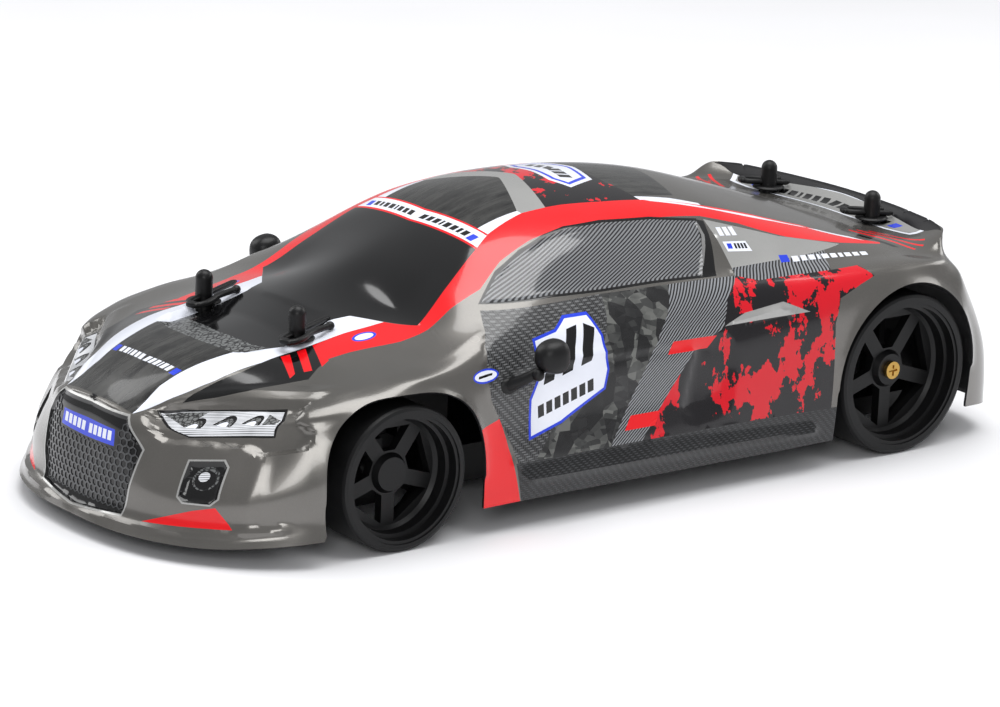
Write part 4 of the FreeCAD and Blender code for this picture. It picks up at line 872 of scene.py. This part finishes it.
def build_shell():
    """The painted skin, one piece for each look, and the film inside it."""
    flat, triangles, looks = skin_triangles()
    flat, triangles = compact(flat, triangles)
    spots = grid_at(flat[:, 0], flat[:, 1])
    normals = vertex_normals(spots, triangles)
    if (normals[:, 2] * (spots[:, 2] > ROOF)).sum() < 0:
        triangles, normals = triangles[:, ::-1], -normals
    middle = spots[:, 0] < 1e-4
    normals[middle, 0] = 0
    normals /= norm(normals, axis=1)[:, None]
    spots = formed(spots, normals)
    spots[middle, 0] = 0
    # points that fall together become one, and slivers go
    _, first, shared = np.unique(np.round(spots, 3), axis=0, return_index=True, return_inverse=True)
    triangles, spots = shared.reshape(-1)[triangles], spots[first]
    middle = middle[first] | (np.abs(spots[:, 0]) < 1e-4)
    a, b, c = (spots[triangles[:, k]] for k in range(3))
    real = norm(np.cross(b - a, c - a), axis=1) > SLIVER
    triangles, looks = triangles[real], looks[real]
    count = len(spots)
    twin = np.where(middle, np.arange(count), np.arange(count) + count)
    whole = np.concatenate([spots, spots * (-1, 1, 1)])
    faces = np.concatenate([triangles, twin[triangles][:, ::-1]])
    looks = np.concatenate([looks, looks])
    whole, faces = compact(whole, faces)
    mesh = bpy.data.meshes.new("skin_normals")
    mesh.from_pydata((whole * MM).tolist(), [], faces.tolist())
    mesh.polygons.foreach_set("use_smooth", [True] * len(faces))
    mesh.set_sharp_from_angle(angle=math.radians(SHARP))
    corner = np.empty(len(faces) * 9, np.float32)
    mesh.corner_normals.foreach_get("vector", corner)
    corner = corner.reshape(-1, 3, 3)
    for look in sorted(set(looks)):
        pick = np.nonzero(looks == look)[0]
        piece = new_object("shell_" + look, *compact(whole, faces[pick]), look)
        piece.data.normals_split_custom_set(corner[pick].reshape(-1, 3).tolist())
    inner = whole - vertex_normals(whole, faces) * SHELL_WALL
    count = len(whole)
    edges = {pair: True for a, b, c in faces for pair in ((a, b), (b, c), (c, a))}
    walls = [(b, a, a + count, b + count) for a, b in edges if (b, a) not in edges]
    lined = (faces[:, ::-1] + count).tolist()
    both = np.concatenate([whole, inner])
    used = sorted({i for face in lined + walls for i in face})
    index = {old: new for new, old in enumerate(used)}
    film = [[index[i] for i in face] for face in lined + walls]
    liner = new_object("shell_inside", both[used], film, "liner")
    mesh.clear_geometry()
    bpy.data.meshes.remove(mesh)
    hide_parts("body_shell")
    return whole, faces


SKIN, SKIN_FACES = build_shell()
SKIN_TREE = BVHTree.FromPolygons(SKIN.tolist(), SKIN_FACES.tolist())


# ------------------------------------------------------------------ grille, mirrors and clips
def on_skin(view, a, b, lift):
    """The skin's point under a drawing's point, raised by lift, or None."""
    place, ray = VIEWS[view]
    hit, normal, _, _ = SKIN_TREE.ray_cast(Vector(place(a, b)), Vector(ray))
    if hit is None:
        return None
    if normal.dot(Vector(ray)) > 0:
        normal = -normal
    return np.array(hit + normal * lift)


def wound(levels, sides, first=0):
    """The faces between rings of points that lie one after another."""
    faces = []
    for level in range(levels - 1):
        for k in range(sides):
            a, b = first + level * sides + k, first + level * sides + (k + 1) % sides
            faces.append((a, b, b + sides, a + sides))
    return faces


def joined(parts):
    spots, faces = [], []
    for more_spots, more_faces in parts:
        first = len(spots)
        spots += list(more_spots)
        faces += [tuple(i + first for i in face) for face in more_faces]
    return spots, faces


CELL, CELL_WALL, CELL_PROUD, CELL_SUNK = 3.1, 0.3, 0.35, -0.2  # pitch, wall, and heights over the skin
CELL_ROW, CELL_CORNER = 0.866, 0.577           # of the pitch: between rows, and from middle to corner
GRILLE_FOOT, GRILLE_HEIGHT, GRILLE_EDGE = 9.5, 44, 0.5
PLATE_HALF, PLATE_LOW, PLATE_HIGH = 20.3, 34.6, 44.8


def build_grille():
    """Raised honeycomb cells over the grille panel, clear of the plate."""
    outline = mirrored(GRILLE)
    shrink = 1 - CELL_WALL / (CELL * 0.5)
    rings = ((1.0, CELL_SUNK), (1.0, CELL_PROUD), (shrink, CELL_PROUD), (shrink, CELL_SUNK))
    cells = []
    for row in range(int(GRILLE_HEIGHT / (CELL * CELL_ROW))):
        z = GRILLE_FOOT + row * CELL * CELL_ROW
        for column in range(-12, 13):
            x = (column + 0.5 * (row % 2)) * CELL
            corners = np.array([(x + CELL * CELL_CORNER * math.sin(math.pi * k / 3),
                                 z + CELL * CELL_CORNER * math.cos(math.pi * k / 3)) for k in range(6)])
            on_plate = abs(x) < PLATE_HALF and PLATE_LOW < z < PLATE_HIGH
            off_panel = not inside(corners, outline).all() or reach(corners, outline).min() < GRILLE_EDGE
            if on_plate or off_panel:
                continue
            spots = [on_skin("front", x + (a - x) * factor, z + (b - z) * factor, lift)
                     for factor, lift in rings for a, b in corners]
            if not any(spot is None for spot in spots):
                cells.append((spots, wound(len(rings), 6)))
    piece = new_object("grille_honeycomb", *joined(cells), "mesh", smooth=False)


def tube(path, radii, sides=14, flat=1.0):
    """Points and faces of a closed bar along path; flat squashes it in height."""
    path = np.array(path, float)
    ahead = np.gradient(path, axis=0)
    ahead /= norm(ahead, axis=1)[:, None]
    spots = []
    for centre, way, radius in zip(path, ahead, radii):
        across = np.cross(way, (0, 0, 1.0))
        across /= max(norm(across), 1e-6)
        rise = np.cross(across, way)
        spots += [centre + radius * (c * across + flat * s * rise) for c, s in circle(sides)]
    last = (len(path) - 1) * sides
    return spots, wound(len(path), sides) + [tuple(range(sides))[::-1], tuple(range(last, last + sides))]


def smooth_path(points, count):
    p = np.array(points, float)
    chord = np.concatenate([[0], np.cumsum(norm(np.diff(p, axis=0), axis=1))])
    return hermite(chord, p, np.linspace(0, chord[-1], count))


def egg(centre, half, squareness, lean=0.0, rings=10, sides=16):
    """A rounded block; lean makes it wider towards its back."""
    power = 2.0 / squareness
    turns = [(signed_power(c, power), signed_power(s, power)) for c, s in circle(sides)]
    spots = []
    for i in range(rings + 1):
        up = -math.pi / 2 + math.pi * i / rings
        out, rise = signed_power(math.cos(up), power), signed_power(math.sin(up), power)
        for across, back in turns:
            along = back * out
            narrow = 1.0 + lean * along
            spots.append((centre[0] + half[0] * across * out * narrow, centre[1] + half[1] * along,
                          centre[2] + half[2] * rise * narrow))
    return spots, wound(rings + 1, sides)


def build_mirror(word, side):
    """A rounded pod on a bent stalk, with a small ball at its tip."""
    pod = egg((side * 96.6, -52.0, 70.0), (6.2, 6.6, 6.6), 2.5, 0.16, 18, 28)
    ball = egg((side * 96.0, -57.6, 63.4), (2.5, 2.5, 2.5), 2.0)
    line = smooth_path([(side * 82.4, -63.5, 56.5), (side * 86.5, -61.5, 58.2), (side * 91.5, -58.0, 61.6),
                        (side * 95.8, -54.5, 66.0)], 16)
    stalk = tube(line, np.linspace(3.6, 2.3, 16), 16, 0.8)
    foot = egg((side * 84.6, -63.0, 57.0), (2.2, 4.6, 3.4), 2.2, sides=20)
    piece = new_object("mirror_pod_" + word, *joined([pod, ball, stalk, foot]), "plastic")
    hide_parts("mirror_" + word)


CLIP_SHAPES = {  # tip of the long leg, side of the bent leg, turn and tilt in degrees, place
    "front": (21.0, 1, 19.0, 5.0, 32.1, -125.8, 74.4),
    "rear": (9.5, -1, -23.0, -3.0, 33.2, 171.7, 87.9),
}


def body_of(node_name):
    bodies = frame["record"]["behaviour"]["bodies"]
    return next(body for body, names in bodies.items() if node_name in names)


def build_clip(end, word, side):
    """A moulded R clip: a thick straight leg, a round loop and a bent second leg that ends in a bead."""
    tip, bent, turn, tilt, x, y, z = CLIP_SHAPES[end]
    half, gap, heel, steps = 3.1, 6.2, -8.4, 60
    flat = [(0, tip), (0, tip * 0.5), (0, 0), (0, heel)]
    flat += [(bent * half * (1 - math.cos(a)), heel - half * math.sin(a))
             for a in np.linspace(0.5, math.pi - 0.5, 6)]
    flat += [(bent * gap, heel), (bent * gap, -3.0), (bent * (gap - 1.0), 1.0), (bent * gap, tip * 0.62)]
    line = smooth_path([(a, b, 0) for a, b in flat], steps)
    thick = [0.7, 1.0, 1.2] + [1.25] * (steps - 3)
    bar = tube(line, thick, 12)
    bead = egg((bent * gap, tip * 0.62, 0), (1.9, 1.9, 1.7), 2.0, sides=14)
    pad = egg((bent * half, -11.2, 0), (3.0, 1.7, 1.25), 3.0)
    spots, faces = joined([bar, bead, pad])
    spin = Matrix.Rotation(math.radians(turn), 3, "Z") @ Matrix.Rotation(math.radians(tilt), 3, "X")
    spots = [np.array(spin @ Vector(spot)) + (side * x, y, z) for spot in spots]
    name = f"body_clip_{end}_{word}"
    piece = new_object(f"moulded_clip_{end}_{word}", spots, faces, "plastic", body=body_of(name))
    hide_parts(name)


# the section of a collar: radius and height
COLLAR = [(3.75, -2.6), (6.4, -2.6), (7.0, -2.2), (7.0, -1.9), (6.2, -1.35), (3.75, -1.35)]


def build_collar(end, word, side):
    """The washer that the clip presses on the shell, round the post."""
    x, y, z = CLIP_SHAPES[end][4:]
    sides, count = 32, len(COLLAR)
    spots = [(side * x + r * c, y + r * s, z + h) for c, s in circle(sides) for r, h in COLLAR]
    faces = []
    for k in range(sides):
        here, after = k * count, (k + 1) % sides * count
        for j in range(count):
            above = (j + 1) % count
            faces.append((here + j, after + j, after + above, here + above))
    piece = new_object(f"post_collar_{end}_{word}", spots, faces, "plastic", smooth=False)


build_grille()
for WORD_SIDE, SIGN in (("left", 1), ("right", -1)):
    build_mirror(WORD_SIDE, SIGN)
    for END in ("front", "rear"):
        build_clip(END, WORD_SIDE, SIGN)
        build_collar(END, WORD_SIDE, SIGN)


# ------------------------------------------------------------------ camera, light and floor
def camera_axes(yaw, pitch, roll):
    """The camera's right, up and back, as directions."""
    back = np.array([math.sin(yaw) * math.cos(pitch), -math.cos(yaw) * math.cos(pitch), math.sin(pitch)])
    right = np.array([math.cos(yaw), math.sin(yaw), 0.0])
    up = np.cross(back, right)
    c, s = math.cos(roll), math.sin(roll)
    return c * right + s * up, c * up - s * right, back


CAMERA_PLACE = (1.2632, -0.9995, 0.4791)
CAMERA_TURN = (0.9018, 0.2655, 0.0398)         # yaw, pitch and roll
FOCAL_LENGTH, SENSOR_WIDTH = 146.5, 36
LIGHT_TARGET = (0, 0, 0.05)
LIGHTS = {  # place, size, power
    "over": ((0.1, 0.1, 1.7), (1.4, 1.4), 27),
    "left_front": ((1.5, -1.3, 0.9), (0.7, 0.7), 9),
    "right": ((-1.4, -0.6, 1.0), (0.8, 1.2), 9),
    "behind": ((0.2, 1.8, 0.9), (1.4, 0.7), 8),
}
FLOOR_REACH, FLOOR_LINES = 6000.0, 9


def add_camera():
    lens = bpy.data.cameras.new("camera")
    lens.lens, lens.sensor_width = FOCAL_LENGTH, SENSOR_WIDTH
    camera = bpy.data.objects.new("camera", lens)
    SCENE.collection.objects.link(camera)
    world = np.eye(4)
    world[:3] = np.stack([*camera_axes(*CAMERA_TURN), CAMERA_PLACE], 1)
    camera.matrix_world = Matrix(world.tolist())
    SCENE.camera = camera


def add_light(name, place, size, power):
    lamp = bpy.data.lights.new(name, "AREA")
    lamp.shape, lamp.size, lamp.size_y, lamp.energy = "RECTANGLE", *size, power
    thing = bpy.data.objects.new(name, lamp)
    SCENE.collection.objects.link(thing)
    thing.location = place
    thing.rotation_euler = (Vector(LIGHT_TARGET) - Vector(place)).to_track_quat("-Z", "Y").to_euler()


def add_studio():
    world = bpy.data.worlds.new("studio")
    SCENE.world = world
    world.use_nodes = True
    back = world.node_tree.nodes["Background"]
    back.inputs["Color"].default_value = (0.97, 0.98, 1.0, 1.0)
    back.inputs["Strength"].default_value = 0.4
    for name, settings in LIGHTS.items():
        add_light(name, *settings)
    SCENE.view_settings.view_transform = "Standard"
    ticks = np.linspace(-FLOOR_REACH, FLOOR_REACH, FLOOR_LINES)
    floor = new_object("floor", [(x, y, 0.0) for x in ticks for y in ticks],
                       grid_quads(FLOOR_LINES, FLOOR_LINES), "floor", body=None)


add_camera()
add_studio()
